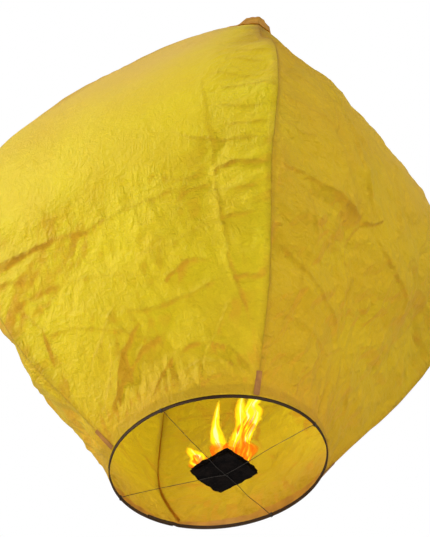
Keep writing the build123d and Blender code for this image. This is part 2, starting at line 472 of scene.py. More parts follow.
def sheet_faces(rows: int, columns: int, start: int = 0, flip: bool = False) -> Faces:
    """Return the faces of a closed thin sheet made of two grids of points.

    Args:
        rows: the rows of points in each grid.
        columns: the columns of points in each grid.
        start: the first point's number.
        flip: whether the second grid is the one wound as the first would be.

    Returns:
        The first grid's faces, the second grid's and the rim's.
    """
    count = rows * columns
    index = start + np.arange(count).reshape(rows, columns)
    quads = np.stack([index[:-1, :-1], index[:-1, 1:], index[1:, 1:], index[1:, :-1]], -1).reshape(-1, 4)
    first, second = (quads[:, ::-1], quads) if flip else (quads, quads[:, ::-1])
    faces = [tuple(f) for f in first.tolist()] + [tuple(f) for f in (second + count).tolist()]
    rim = [int(p) for p in np.concatenate([index[0, :], index[1:, -1], index[-1, -2::-1], index[-2::-1, 0]])]
    for p, q in zip(rim, rim[1:]):
        one, two = (p, q) if flip else (q, p)
        faces.append((one, two, two + count, one + count))
    return faces


def ring_faces(rings: int, sides: int, inward: bool = False) -> Faces:
    """Return the faces between rings of points, each joined to the next.

    Args:
        rings: how many rings there are.
        sides: the points in each ring.
        inward: whether the rings run the other way about their line.

    Returns:
        The faces, without the two end faces.
    """
    faces: Faces = []
    for ring in range(rings - 1):
        for side in range(sides):
            a, b = ring * sides + side, ring * sides + (side + 1) % sides
            faces.append((a, a + sides, b + sides, b) if inward else (a, b, b + sides, a + sides))
    return faces


def carry(piece: bpy.types.Object, name: str, values: np.ndarray) -> None:
    """Store a number at each point of a piece."""
    layer = piece.data.attributes.new(name, "FLOAT", "POINT")
    layer.data.foreach_set("value", values.astype(np.float32).ravel())


def ease(share: np.ndarray | float) -> np.ndarray | float:
    """Ease a share from 0 to 1 with no slope at either end."""
    share = np.clip(share, 0.0, 1.0)
    return share * share * (3.0 - 2.0 * share)


def tube(points: np.ndarray, radius: float, sides: int = 8) -> tuple[np.ndarray, Faces]:
    """Make a round tube with closed ends along a line of points.

    Args:
        points: the line, one point a row.
        radius: the tube's radius.
        sides: how many sides it has.

    Returns:
        Its points and its faces.
    """
    along = np.gradient(points, axis=0)
    along /= np.linalg.norm(along, axis=1)[:, None]
    normal = np.cross(along[0], (0.0, 0.0, 1.0))
    if np.linalg.norm(normal) < 0.1:
        normal = np.cross(along[0], (1.0, 0.0, 0.0))
    rings = []
    for point, way in zip(points, along):
        normal = normal - way * (normal @ way)
        normal /= np.linalg.norm(normal)
        other = np.cross(way, normal)
        turns = np.linspace(0, 2 * math.pi, sides, endpoint=False)[:, None]
        rings.append(point + radius * (np.cos(turns) * normal + np.sin(turns) * other))
    faces = ring_faces(len(points), sides)
    last = (len(points) - 1) * sides
    faces.append(tuple(range(sides))[::-1])
    faces.append(tuple(range(last, last + sides)))
    return np.vstack(rings), faces


def soft_line(corners: Sequence[Sequence[float]], order: int = 3, steps: int = 14) -> np.ndarray:
    """Return points along one smooth NURBS line.

    Args:
        corners: its control points.
        order: the spline's order.
        steps: points made for each control point.

    Returns:
        The points of the line, one row each.
    """
    curve = bpy.data.curves.new("line", "CURVE")
    curve.dimensions = "3D"
    spline = curve.splines.new("NURBS")
    spline.points.add(len(corners) - 1)
    for point, corner in zip(spline.points, corners):
        point.co = (*corner, 1.0)
    spline.order_u = order
    spline.use_endpoint_u = True
    spline.resolution_u = steps
    holder = bpy.data.objects.new("line", curve)
    mesh = bpy.data.meshes.new_from_object(holder)
    found = np.array([v.co for v in mesh.vertices], float).reshape(-1, 3)
    bpy.data.objects.remove(holder)
    bpy.data.curves.remove(curve)
    bpy.data.meshes.remove(mesh)
    return found


class Crumple:
    """Seeded patterns for paper and char: smooth billows and flat facets with sharp edges."""

    size = 128

    def __init__(self, seed: int) -> None:
        """Fill the table of heights."""
        self.table = np.random.default_rng(seed).uniform(-1.0, 1.0, (self.size, self.size))

    def _at(self, i: np.ndarray, j: np.ndarray) -> np.ndarray:
        """Return the heights at whole places."""
        return self.table[i.astype(int) % self.size, j.astype(int) % self.size]

    def billow(self, x: np.ndarray, y: np.ndarray, size: float) -> np.ndarray:
        """Return a smooth pattern from -1 to 1 with features of a size.

        Args:
            x: places across.
            y: places up.
            size: how wide a feature is.

        Returns:
            The height of each place.
        """
        x, y = x / size, y / size
        i, j = np.floor(x), np.floor(y)
        a, b = ease(x - i), ease(y - j)
        low = self._at(i, j) * (1 - a) + self._at(i + 1, j) * a
        high = self._at(i, j + 1) * (1 - a) + self._at(i + 1, j + 1) * a
        return low * (1 - b) + high * b

    def facets(self, x: np.ndarray, y: np.ndarray, size: float) -> np.ndarray:
        """Return a pattern of flat facets from -1 to 1, each about a size across.

        Args:
            x: places across the paper.
            y: places up the paper.
            size: how wide a facet is.

        Returns:
            The height of each place.
        """
        wander = 0.42 * size
        x, y = (
            x + wander * self.billow(x + 31.7 * size, y, size * 1.3),
            y + wander * self.billow(x, y + 17.3 * size, size * 1.3),
        )
        x, y = x / size, y / size
        skew = (x + y) * 0.366
        i, j = np.floor(x + skew), np.floor(y + skew)
        a, b = x + skew - i, y + skew - j
        corner, far = self._at(i, j), self._at(i + 1, j + 1)
        one = corner + (self._at(i + 1, j) - corner) * a + (far - self._at(i + 1, j)) * b
        two = corner + (self._at(i, j + 1) - corner) * b + (far - self._at(i, j + 1)) * a
        return np.where(a > b, one, two)


# ---------------------------------------------------------------- the envelope
class Side(Enum):
    """A gore by the way it faces, with its angle about the spine."""

    FRONT = -90.0
    RIGHT = 0.0
    BACK = 90.0
    LEFT = 180.0

    @property
    def label(self) -> str:
        """Return the side's name in lower case."""
        return self.name.lower()


SEAMS = {"front_right": -45.0, "back_right": 45.0, "back_left": 135.0, "front_left": 225.0}
SEAM_AFTER = {
    Side.FRONT: "front_right",
    Side.RIGHT: "back_right",
    Side.BACK: "back_left",
    Side.LEFT: "front_left",
}
SEAM_BEFORE = {
    Side.FRONT: "front_left",
    Side.RIGHT: "front_right",
    Side.BACK: "back_right",
    Side.LEFT: "back_left",
}


@dataclass(frozen=True)
class EnvelopeForm:
    """The smooth form of the envelope: rounded squares across a leaning spine."""

    lean: float = math.radians(11.7)
    lean_height: float = 0.430
    crown_lean: float = math.radians(12.0)
    crown_lean_from: float = 0.620
    crown_lean_to: float = 0.900
    neck_turn: float = math.radians(6.8)
    neck_turn_height: float = 0.400
    foot: float = 0.005
    crown: float = 0.942
    # height along the spine, then the seam's and the gore middle's distance from it
    profile: tuple[tuple[float, float, float], ...] = (
        (0.005, 0.1812, 0.1812),
        (0.072, 0.238, 0.198),
        (0.180, 0.330, 0.261),
        (0.310, 0.402, 0.326),
        (0.436, 0.434, 0.355),
        (0.556, 0.408, 0.323),
        (0.676, 0.317, 0.251),
        (0.776, 0.210, 0.167),
        (0.856, 0.122, 0.100),
        (0.890, 0.078, 0.064),
        (0.908, 0.052, 0.042),
        (0.922, 0.033, 0.026),
        (0.942, 0.022, 0.016),
    )

    def tilt(self, height: np.ndarray) -> np.ndarray:
        """Return the spine's lean at heights along it."""
        span = self.crown_lean_to - self.crown_lean_from
        crown = self.crown_lean * ease((height - self.crown_lean_from) / span)
        return self.lean * ease(height / self.lean_height) + crown

    def spine(self, height: np.ndarray) -> tuple[np.ndarray, np.ndarray]:
        """Return the spine's X and Z at heights along it.

        Args:
            height: lengths along the spine, in metres.

        Returns:
            X and Z, in metres.
        """
        marks = np.linspace(0.0, 1.0, 2001)
        middle = self.tilt((marks[1:] + marks[:-1]) / 2)
        x = np.concatenate([[0.0], np.cumsum(np.sin(middle))]) * marks[1]
        z = np.concatenate([[0.0], np.cumsum(np.cos(middle))]) * marks[1]
        return np.interp(height, marks, x), np.interp(height, marks, z)

    def radii(self, height: np.ndarray) -> tuple[np.ndarray, np.ndarray]:
        """Return the seam's and the gore middle's distance from the spine at heights.

        Args:
            height: heights along the spine, in metres.

        Returns:
            The two distances, in metres.
        """
        rows = np.array(self.profile)
        place = np.clip(np.searchsorted(rows[:, 0], height, side="right") - 1, 0, len(rows) - 2)
        low, high = rows[place], rows[place + 1]
        before, after = rows[np.maximum(place - 1, 0)], rows[np.minimum(place + 2, len(rows) - 1)]
        span = high[..., 0] - low[..., 0]
        t = np.clip((height - low[..., 0]) / span, 0, 1)
        found = []
        for k in (1, 2):
            slope_low = (high[..., k] - before[..., k]) / (high[..., 0] - before[..., 0]) * span
            slope_high = (after[..., k] - low[..., k]) / (after[..., 0] - low[..., 0]) * span
            start, end = t * (1 - t) ** 2 * slope_low, t * t * (1 - t) * slope_high
            found.append(low[..., k] + (high[..., k] - low[..., k]) * ease(t) + start - end)
        return found[0], found[1]

    def turn(self, height: np.ndarray) -> np.ndarray:
        """Return how far the section is turned at heights."""
        return self.neck_turn * (1 - ease(height / self.neck_turn_height))

    def outward(self, angle: np.ndarray, height: np.ndarray) -> np.ndarray:
        """Return the unit vector away from the spine at angles and heights."""
        lean = self.tilt(height)
        across, along = np.cos(angle), np.sin(angle)
        return np.stack([across * np.cos(lean), along, -across * np.sin(lean)], -1)

    def place(self, side: Side, u: np.ndarray, height: np.ndarray) -> np.ndarray:
        """Return points on a gore.

        Args:
            side: the gore.
            u: places across it, from -1 at its first seam to 1 at its second.
            height: places along the spine.

        Returns:
            The points, with a last axis of three.
        """
        corner, middle = self.radii(height)
        phi = u * EIGHTH_TURN
        half = math.cos(EIGHTH_TURN)
        shift = (corner**2 - middle**2) / (2 * (middle - corner * half))
        bow = middle + shift
        radius = -shift * np.cos(phi) + np.sqrt(bow**2 - (shift * np.sin(phi)) ** 2)
        angle = math.radians(side.value) + self.turn(height) + phi
        x, z = self.spine(height)
        centre = np.stack([x, np.zeros_like(x), z], -1)
        return centre + radius[..., None] * self.outward(angle, height)


@dataclass(frozen=True)
class Fold:
    """One crease in the paper, through points given as (share across, height in mm).

    One side of it stands over the other: with a positive depth, the high side is on the left of
    the way its points run.
    """

    points: tuple[tuple[float, float], ...]
    depth: float = 3.0
    reach: float = 16.0
    # how dark the painted shade along the crease is
    mark: float = 0.5


FOLDS: dict[Side, tuple[Fold, ...]] = {
    Side.FRONT: (
        Fold(((0.60, 560), (0.66, 450), (0.70, 385), (0.70, 343)), -4.0, 22, 0.45),
        Fold(((0.70, 343), (0.71, 320), (0.74, 268), (0.77, 190), (0.84, 130), (0.94, 70)), -5.0, 20, 0.6),
        Fold(((0.69, 330), (0.72, 344), (0.83, 347), (1.0, 343)), 8.0, 15, 1.0),
        Fold(((0.64, 541), (0.79, 531), (0.90, 522)), 3.4, 12, 0.6),
        Fold(((0.69, 497), (0.84, 494), (0.98, 488)), 4.0, 13, 0.8),
        Fold(((0.74, 575), (0.85, 569), (0.96, 563)), 3.6, 12, 0.7),
        Fold(((0.76, 600), (0.88, 594), (0.98, 590)), 3.0, 10, 0.6),
        Fold(((0.70, 459), (0.84, 450), (0.98, 447)), 3.0, 12, 0.5),
        Fold(((0.74, 422), (0.86, 416), (0.99, 416)), 4.0, 12, 0.6),
        Fold(((0.45, 425), (0.58, 400), (0.69, 394), (0.84, 387), (0.99, 387)), 3.4, 13, 0.7),
        Fold(((0.71, 303), (0.83, 303), (0.97, 300)), 3.0, 12, 0.5),
        Fold(((0.72, 262), (0.84, 262), (0.99, 258)), 3.0, 12, 0.5),
        Fold(((0.30, 356), (0.49, 334), (0.66, 340)), 2.6, 12, 0.4),
        Fold(((0.48, 315), (0.59, 315), (0.70, 318)), 2.4, 10, 0.4),
        Fold(((-1.0, 302), (-0.85, 298), (-0.62, 300), (-0.40, 303)), 8.0, 13, 1.0),
        Fold(((-0.98, 288), (-0.80, 292), (-0.62, 300)), 6.0, 10, 0.9),
        Fold(((-0.78, 380), (-0.80, 340), (-0.90, 306)), 4.0, 12, 0.7),
        Fold(((-0.55, 306), (-0.2, 300), (0.3, 312), (0.68, 328)), 2.4, 16, 0.45),
        Fold(((-1.0, 268), (-0.86, 272), (-0.70, 262)), 4.0, 10, 0.6),
        Fold(((1.0, 159), (0.86, 168), (0.75, 168)), -5.0, 14, 0.7),
        Fold(((0.75, 170), (0.6, 163), (0.49, 159), (0.25, 155), (0.0, 160), (-0.18, 168)), -4.0, 17, 0.6),
        Fold(((0.72, 196), (0.50, 206), (0.34, 196), (0.26, 182)), -5.0, 16, 0.5),
        Fold(((1.0, 16), (0.90, 45), (0.74, 70), (0.55, 86), (0.34, 90), (0.22, 82)), -7.0, 24, 0.45),
        Fold(((0.98, 24), (0.70, 52), (0.42, 62), (0.16, 46)), 6.0, 20, 0.5),
        Fold(((0.99, 20), (0.60, 34), (0.30, 22)), -4.0, 14, 0.3),
        Fold(((-0.11, 190), (-0.39, 140), (-0.68, 105)), 6.0, 26, 0.5),
        Fold(((0.02, 150), (-0.30, 112), (-0.52, 66), (-0.60, 30)), -6.0, 26, 0.35),
        Fold(((-0.30, 150), (-0.44, 100), (-0.70, 60), (-0.80, 30)), 6.0, 22, 0.4),
        Fold(((-0.88, 184), (-0.56, 168), (-0.21, 137), (0.15, 99)), 4.0, 18, 0.5),
        Fold(((-0.75, 33), (-0.41, 77), (-0.11, 105), (0.2, 118)), 5.0, 18, 0.5),
        Fold(((-0.16, 22), (-0.02, 60), (0.20, 84)), 6.0, 22, 0.35),
        Fold(((-1.0, 232), (-0.6, 240), (-0.2, 226), (0.1, 205)), 3.0, 18, 0.4),
        Fold(((-0.90, 240), (-0.82, 190), (-0.92, 130)), -4.0, 16, 0.4),
        Fold(((0.74, 262), (0.45, 240), (0.1, 232)), 2.4, 14, 0.3),
        Fold(((0.42, 30), (0.50, 70), (0.66, 110), (0.80, 150)), -4.0, 18, 0.2),
    ),
    Side.RIGHT: (
        Fold(((-1.0, 343), (-0.8, 356), (-0.56, 353), (-0.39, 347), (-0.29, 345)), 6.0, 18, 0.6),
        Fold(((-0.29, 345), (-0.19, 355), (-0.10, 384)), 9.0, 16, 0.8),
        Fold(((-0.65, 575), (-0.61, 463), (-0.54, 416), (-0.32, 347)), -6.0, 30, 0.15),
        Fold(((-0.60, 585), (-0.49, 491), (-0.34, 412), (-0.20, 369)), 9.0, 34, 0.25),
        Fold(((-0.29, 345), (-0.36, 275), (-0.24, 221), (-0.05, 160)), -8.0, 34, 0.15),
        Fold(((-0.20, 353), (0.01, 318), (0.31, 293), (0.45, 250)), 8.0, 34, 0.4),
        Fold(((-0.97, 222), (-0.71, 206), (-0.52, 184), (-0.04, 152)), 6.0, 20, 0.7),
        Fold(((-0.04, 152), (-0.29, 212), (-0.5, 281), (-0.56, 353)), -5.0, 26, 0.25),
        Fold(((-0.8, 353), (-0.66, 265), (-0.76, 146), (-0.86, 90)), 5.0, 22, 0.5),
        Fold(((-0.66, 215), (-0.59, 262), (-0.50, 300), (-0.46, 345)), -5.0, 20, 0.5),
        Fold(((0.0, 152), (0.26, 124), (0.45, 108), (0.7, 80)), 5.0, 20, 0.5),
        Fold(((-0.95, 120), (-0.6, 128), (-0.2, 118), (0.0, 152)), 4.0, 18, 0.4),
        Fold(((-0.98, 30), (-0.72, 62), (-0.55, 105), (-0.5, 165)), -6.0, 24, 0.2),
        Fold(((0.3, 20), (0.2, 70), (0.0, 152)), 5.0, 22, 0.4),
        Fold(((-0.60, 24), (-0.42, 70), (-0.30, 118)), 5.0, 18, 0.3),
        Fold(((-0.99, 560), (-0.90, 560), (-0.82, 548), (-0.70, 540)), 3.4, 12, 0.6),
        Fold(((-0.99, 480), (-0.88, 486), (-0.71, 488), (-0.60, 470)), 3.4, 13, 0.6),
        Fold(((-0.98, 430), (-0.84, 426), (-0.72, 440)), 3.0, 11, 0.5),
        Fold(((0.45, 560), (0.42, 460), (0.36, 380), (0.3, 300)), -6.0, 30, 0.3),
        Fold(((0.10, 560), (0.05, 470), (0.08, 400), (0.0, 330)), 6.0, 30, 0.25),
        Fold(((-0.06, 306), (-0.2, 250), (-0.16, 190)), 4.0, 16, 0.4),
        Fold(((0.10, 300), (0.16, 240), (0.10, 180)), -5.0, 22, 0.3),
    ),
    Side.BACK: (
        Fold(((-1.0, 343), (-0.4, 352), (0.1, 338), (0.6, 350), (1.0, 340)), 6.0, 18, 0.6),
        Fold(((-0.62, 560), (-0.66, 430), (-0.70, 300), (-0.78, 180), (-0.90, 80)), 5.0, 22, 0.4),
        Fold(((0.55, 580), (0.60, 420), (0.66, 260), (0.8, 120)), -6.0, 28, 0.3),
        Fold(((-0.1, 600), (-0.16, 480), (-0.04, 346)), 5.0, 30, 0.25),
        Fold(((-1.0, 160), (-0.4, 172), (0.2, 155), (1.0, 165)), 4.0, 18, 0.5),
        Fold(((0.0, 160), (0.3, 240), (0.4, 350)), 5.0, 22, 0.4),
        Fold(((-0.3, 350), (-0.1, 250), (-0.35, 165)), -5.0, 24, 0.2),
        Fold(((-0.5, 24), (-0.2, 80), (-0.35, 160)), 5.0, 20, 0.3),
        Fold(((0.5, 24), (0.3, 90), (0.5, 158)), -5.0, 20, 0.3),
    ),
    Side.LEFT: (
        Fold(((-1.0, 340), (-0.5, 334), (0.2, 346), (1.0, 300)), 6.0, 18, 0.6),
        Fold(((0.66, 560), (0.70, 400), (0.74, 240), (0.86, 100)), 5.0, 22, 0.4),
        Fold(((-0.5, 590), (-0.52, 440), (-0.45, 340)), -6.0, 30, 0.25),
        Fold(((0.1, 600), (0.04, 470), (0.1, 345)), 5.0, 30, 0.25),
        Fold(((-1.0, 165), (-0.2, 150), (0.5, 170), (1.0, 190)), 4.0, 18, 0.5),
        Fold(((-0.45, 340), (-0.1, 260), (0.0, 150)), 5.0, 24, 0.4),
        Fold(((0.4, 345), (0.2, 240), (0.5, 170)), -5.0, 24, 0.2),
        Fold(((-0.5, 24), (-0.3, 80), (-0.4, 150)), 5.0, 20, 0.3),
        Fold(((0.5, 24), (0.2, 80), (0.3, 160)), -5.0, 20, 0.3),
    ),
}


@dataclass(frozen=True)
class Temper:
    """How one gore's paper behaves and is coloured: its crumple, and its tones, which are partly painted
    shade.
    """

    crumple: float = 0.7
    calm_top: float = 1.0
    pucker_before: float = 0.5
    pucker_after: float = 0.5
    # how far the gore goes towards the darker golden: partly painted shade of the gores turned from the key
    # light
    tone: float = 0.3
    warm: float = 0.1
    seed: int = 1


TEMPERS: dict[Side, Temper] = {
    Side.FRONT: Temper(0.75, 0.16, 0.3, 1.0, 0.10, 0.05, 3),
    Side.RIGHT: Temper(1.15, 0.75, 0.35, 0.5, 0.75, 0.15, 11),
    Side.BACK: Temper(0.95, 0.5, 0.6, 0.6, 0.45, 0.1, 23),
    Side.LEFT: Temper(0.9, 0.5, 0.6, 0.4, 0.35, 0.1, 37),
}


@dataclass
class Envelope:
    """The four gores, their seam fins, hems and crown, all of tissue.

    Each gore is made in two lengths that meet at a cross fold: a skirt next to the hoop, and an
    upper length that goes with the envelope's body.
    hoop and the envelope, and an upper length that folds down when the crown drops.
    """

    form: EnvelopeForm = field(default_factory=EnvelopeForm)
    paper: float = 0.0004
    across: int = 200
    step: float = 0.003
    split: float = 0.306
    bend_from: float = 0.045
    crown_travel: float = 0.5
    lap_edge: float = 0.0024
    fin_width: float = 0.007
    fin_from: float = 0.026
    fin_to: float = 0.835
    mark_width: float = 2.0  # mm
    seam_pull: float = 0.018
    spare: float = 1.15
    hem_from: float = 0.0074
    hem_to: float = 0.0205
    hem_gap: float = 0.0016
    patch_from: float = 0.846
    patch_to: float = 0.868
    patch_gap: float = 0.008
    cap_wall: float = 0.0006
    cap_levels: tuple[tuple[float, float], ...] = (
        (0.908, 0.0016), (0.915, 0.0024), (0.922, 0.0022), (0.929, 0.0024), (0.936, 0.0020), (0.943, 0.0018)
    )
    tissue: bpy.types.Material | None = None
    glued: bpy.types.Material | None = None

    def build(self) -> None:
        """Build every paper piece of the envelope; all but the lower lengths are attached to the frame's
        bodies.
        """
        self.tissue = TissueFinish().make()
        self.glued = GluedTissueFinish().make()
        for side in Side:
            self.gore(side)
            self.hem(side)
        for seam in SEAMS:
            self.fin(seam)
        self.crown_patch()
        self.crown_tip()

    # -- the shape of the paper
    def seam_wave(self, seam: str, height: np.ndarray) -> np.ndarray:
        """Return how far a seam's ridge stands out of its smooth line, in metres.

        Args:
            seam: the seam's name.
            height: heights along the spine, in metres.

        Returns:
            The distance outwards at each height.
        """
        noise = Crumple(SEED + 200 + int(SEAMS[seam]))
        mm = height / MM
        row = np.zeros_like(mm)
        wave = 1.5 * noise.billow(mm, row, 44) + 0.8 * noise.billow(mm, row + 9, 17)
        gate = ease((mm - 12) / 60) * ease((900 - mm) / 80)
        return wave * gate * MM

    def half(self, height: np.ndarray | float) -> np.ndarray:
        """Return half a gore's width at heights, in mm."""
        corner, middle = self.form.radii(np.asarray(height))
        return 0.5 * (corner + middle) * EIGHTH_TURN / MM

    def fold_relief(self, side: Side, x: np.ndarray, mm: np.ndarray) -> tuple[np.ndarray, np.ndarray]:
        """Return the depth of a gore's listed folds and the painted shade along them.

        Args:
            side: the gore.
            x: places across it, in mm from its middle.
            mm: heights in mm.

        Returns:
            The relief in mm, sunk where it is negative, and the painted crease shade from 0 up.
        """
        relief, mark = np.zeros_like(x), np.zeros_like(x)
        noise = Crumple(SEED + TEMPERS[side].seed + 5)
        wobble_x = x + 2.6 * noise.billow(x, mm, 24) + 1.0 * noise.billow(x, mm, 9)
        wobble_y = mm + 2.6 * noise.billow(x + 400, mm, 24) + 1.0 * noise.billow(x + 400, mm, 9)
        for fold in FOLDS[side]:
            away, run, left = np.full_like(x, 1e6), np.zeros_like(x), np.ones_like(x)
            count = len(fold.points) - 1
            for index, ((u0, h0), (u1, h1)) in enumerate(zip(fold.points, fold.points[1:])):
                x0, x1 = u0 * self.half(h0 * MM), u1 * self.half(h1 * MM)
                dx, dy = x1 - x0, h1 - h0
                t = ((wobble_x - x0) * dx + (wobble_y - h0) * dy) / (dx * dx + dy * dy)
                t = np.clip(t, 0, 1)
                d = np.hypot(wobble_x - x0 - t * dx, wobble_y - h0 - t * dy)
                cross = dx * (wobble_y - h0) - dy * (wobble_x - x0)
                left = np.where(d < away, np.sign(cross), left)
                run = np.where(d < away, (index + t) / count, run)
                away = np.minimum(away, d)
            fade = ease(np.minimum(run, 1 - run) * 4 + 0.1)
            broken = 0.78 + 0.22 * noise.billow(x, mm + 900, 26)
            steep = left * math.copysign(1.0, fold.depth) < 0
            reach = np.where(steep, self.lap_edge / MM, fold.reach)
            relief += 0.8 * abs(fold.depth) * fade * broken * np.exp(-away / reach)
            # painted shade: a dark line along each crease
            mark += 0.6 * fold.mark * fade * broken * np.exp(-((away / self.mark_width) ** 2))
        return relief, mark

    def calm(self, side: Side, u: np.ndarray, mm: np.ndarray) -> np.ndarray:
        """Return how crumpled a gore is at each place, 1 for fully: its top is drawn tight.

        Args:
            side: the gore.
            u: places across it, from -1 to 1.
            mm: heights in mm.

        Returns:
            A share from 0 to 1.
        """
        least = TEMPERS[side].calm_top
        share = least + (1 - least) * (1 - ease((mm - 330) / 60))
        if side is Side.FRONT:
            share = share + (1 - share) * ease((u - 0.55) / 0.15)
        return share

    def relief(self, side: Side, u: np.ndarray, height: np.ndarray) -> tuple[np.ndarray, ...]:
        """Return a gore's relief out of its smooth form.

        Args:
            side: the gore.
            u: places across it, from -1 to 1.
            height: heights along the spine, in metres.

        Returns:
            The relief in metres, the colour mark with painted shade in its creases, and painted shade on the
            slopes turned from the key light.
        """
        temper = TEMPERS[side]
        noise = Crumple(SEED + temper.seed)
        half = self.half(height)
        mm = height / MM
        x = u * half
        relief, mark = self.fold_relief(side, x, mm)
        rough = temper.crumple * self.calm(side, u, mm)
        rough = rough * np.clip(half / 250.0, 0.2, 1.0)
        relief += 5.0 * noise.billow(x, mm, 230) + 3.0 * rough * noise.billow(x + 70, mm, 90)
        relief += rough * (14.0 * noise.facets(x, mm, 130) + 6.0 * noise.facets(x + 500, mm, 62))
        relief += rough * 3.0 * noise.facets(x + 900, mm, 27) + 0.8 * rough * noise.facets(x, mm + 500, 13)
        gather = ease((170 - mm) / 130) * ease((mm - 6) / 26)
        pleats = noise.facets(x, mm * 0.22 + 300, 30) + 0.5 * noise.facets(x, mm * 0.3 + 600, 13)
        relief += 4.6 * gather * pleats
        gather = ease((mm - 700) / 160)
        relief += 1.8 * gather * noise.facets(u * 40, mm * 0.08 + 90, 8)
        for weight, away in ((temper.pucker_before, half + x), (temper.pucker_after, half - x)):
            near = np.exp(-away / 46.0) * ease((mm - 180) / 160) * ease((880 - mm) / 100)
            phase = mm / 31.0 + 0.9 * noise.billow(mm, away * 0.4, 60) + away * 0.012
            ridge = 1 - 2 * np.abs(np.mod(phase, 1.0) - 0.5) * 2
            strength = 0.35 + 0.65 * ease(noise.billow(mm + 200, away * 0.2, 70) + 0.5)
            relief += weight * 2.6 * near * ridge * strength * np.clip(half / 160.0, 0.25, 1.0)
        # painted shade: darker where the relief bends into a crease
        bend = np.zeros_like(relief)
        bend[1:-1] += np.diff(relief, 2, axis=0) / np.diff(mm, axis=0)[1:] ** 2
        bend[:, 1:-1] += np.diff(relief, 2, axis=1) / np.diff(x, axis=1)[:, 1:] ** 2
        mark += np.clip(bend * 0.55 - 0.04, 0, 0.28)
        away = half - np.abs(x)
        gate = (1 - np.exp(-((away / 9.0) ** 2))) * ease((mm - 5) / 30) * ease((925 - mm) / 90)
        # painted shade: amber on fold slopes that face away from the key light at the upper left, in the
        # lower paper
        slope_x = np.gradient(relief, axis=1) / np.gradient(x, axis=1)
        slope_y = np.gradient(relief, axis=0) / np.gradient(mm, axis=0)
        slope_shade = np.clip(0.9 * slope_y - 0.9 * slope_x - 0.10, 0, 0.5) * ease((460 - mm) / 200)
        mark += 0.16 * np.exp(-((away / 2.4) ** 2)) + 0.20 * ease((8.5 - away) / 2.0)
        mark += 0.42 * ease((mm - 600) / 90) * ease((np.abs(u) - 0.62) / 0.3)
        return relief * gate * MM, mark, slope_shade

    def sheet_points(self, side: Side, u: np.ndarray, height: np.ndarray) -> tuple[np.ndarray, ...]:
        """Return a gore's crumpled surface.

        Args:
            side: the gore.
            u: places across it, from -1 to 1.
            height: heights along the spine, in metres.

        Returns:
            The points, their outward normals, the colour mark with painted crease shade, and the painted
            slope shade.
        """
        base = self.form.place(side, u, height)
        normal = np.cross(np.gradient(base, axis=1), np.gradient(base, axis=0))
        normal /= np.linalg.norm(normal, axis=-1)[..., None]
        relief, mark, slope_shade = self.relief(side, u, height)
        points = base + normal * (relief - 0.5 * self.paper)[..., None]
        corner, _ = self.form.radii(height)
        for seam, way in ((SEAM_BEFORE[side], -1.0), (SEAM_AFTER[side], 1.0)):
            away = (1 - way * u) * corner * EIGHTH_TURN
            angle = math.radians(side.value + way * 45.0) + self.form.turn(height)
            push = self.seam_wave(seam, height) * np.exp(-away / self.seam_pull)
            points = points + push[..., None] * self.form.outward(angle, height)
        normal = np.cross(np.gradient(points, axis=1), np.gradient(points, axis=0))
        normal /= np.linalg.norm(normal, axis=-1)[..., None]
        return points, normal, mark, slope_shade

    # -- pieces
    def grid_piece(
        self,
        name: str,
        points: np.ndarray,
        normals: np.ndarray,
        layers: dict[str, np.ndarray],
        flat: np.ndarray,
        material: bpy.types.Material,
    ) -> bpy.types.Object:
        """Make a closed thin sheet from a grid of points.

        Args:
            name: the piece's name.
            points: rows by columns by three, on its outside.
            normals: the outward normals of the grid.
            layers: numbers to store at each point, by name.
            flat: the flat pattern's coordinates, rows by columns by two.
            material: its finish.

        Returns:
            The new piece, with its own shading normals.
        """
        rows, columns = points.shape[:2]
        outer = points.reshape(-1, 3)
        ways = normals.reshape(-1, 3)
        inner = outer - ways * self.paper
        count = rows * columns
        piece = make_piece(name, np.vstack([outer, inner]), sheet_faces(rows, columns), material)
        mesh = piece.data
        for key, values in layers.items():
            carry(piece, key, np.tile(values.ravel(), 2))
        uv = mesh.uv_layers.new(name="flat")
        corners = np.zeros(len(mesh.loops), int)
        mesh.loops.foreach_get("vertex_index", corners)
        uv.data.foreach_set("uv", flat.reshape(-1, 2)[corners % count].astype(np.float32).ravel())
        mesh.normals_split_custom_set_from_vertices(np.vstack([ways, -ways]).tolist())
        return piece

    def bind(self, piece: bpy.types.Object, lower: bool) -> None:
        """Bake a lower length's place into its mesh, or attach an upper length to the envelope's body.

        Args:
            piece: the paper.
            lower: whether it is the length next to the hoop.
        """
        x, z = self.form.spine(np.array(self.split))
        lean = float(self.form.tilt(np.array(self.split)))
        if lower:
            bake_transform(piece)
            return
        top_x, top_z = self.form.spine(np.array(self.form.crown))
        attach(piece, "envelope")
        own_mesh(piece)

    def heights(self) -> np.ndarray:
        """Return the rows' heights, with one exactly at the split."""
        low = np.linspace(self.form.foot, self.split, round((self.split - self.form.foot) / self.step) + 1)
        high = np.linspace(self.split, self.form.crown, round((self.form.crown - self.split) / self.step) + 1)
        return np.concatenate([low, high[1:]])

    def gore(self, side: Side) -> None:
        """Build one gore's skirt and upper length.

        Args:
            side: the gore.
        """
        temper = TEMPERS[side]
        heights = self.heights()
        u, height = np.meshgrid(np.linspace(-1, 1, self.across + 1), heights)
        points, normals, mark, slope_shade = self.sheet_points(side, u, height)
        half = self.half(height) * MM
        flat = np.stack([u * half + temper.seed, height], -1)
        # the upper paper: painted sheen and a little more amber
        top = ease((height - 0.40) / 0.35)
        foot = ease((0.20 - height) / 0.18)
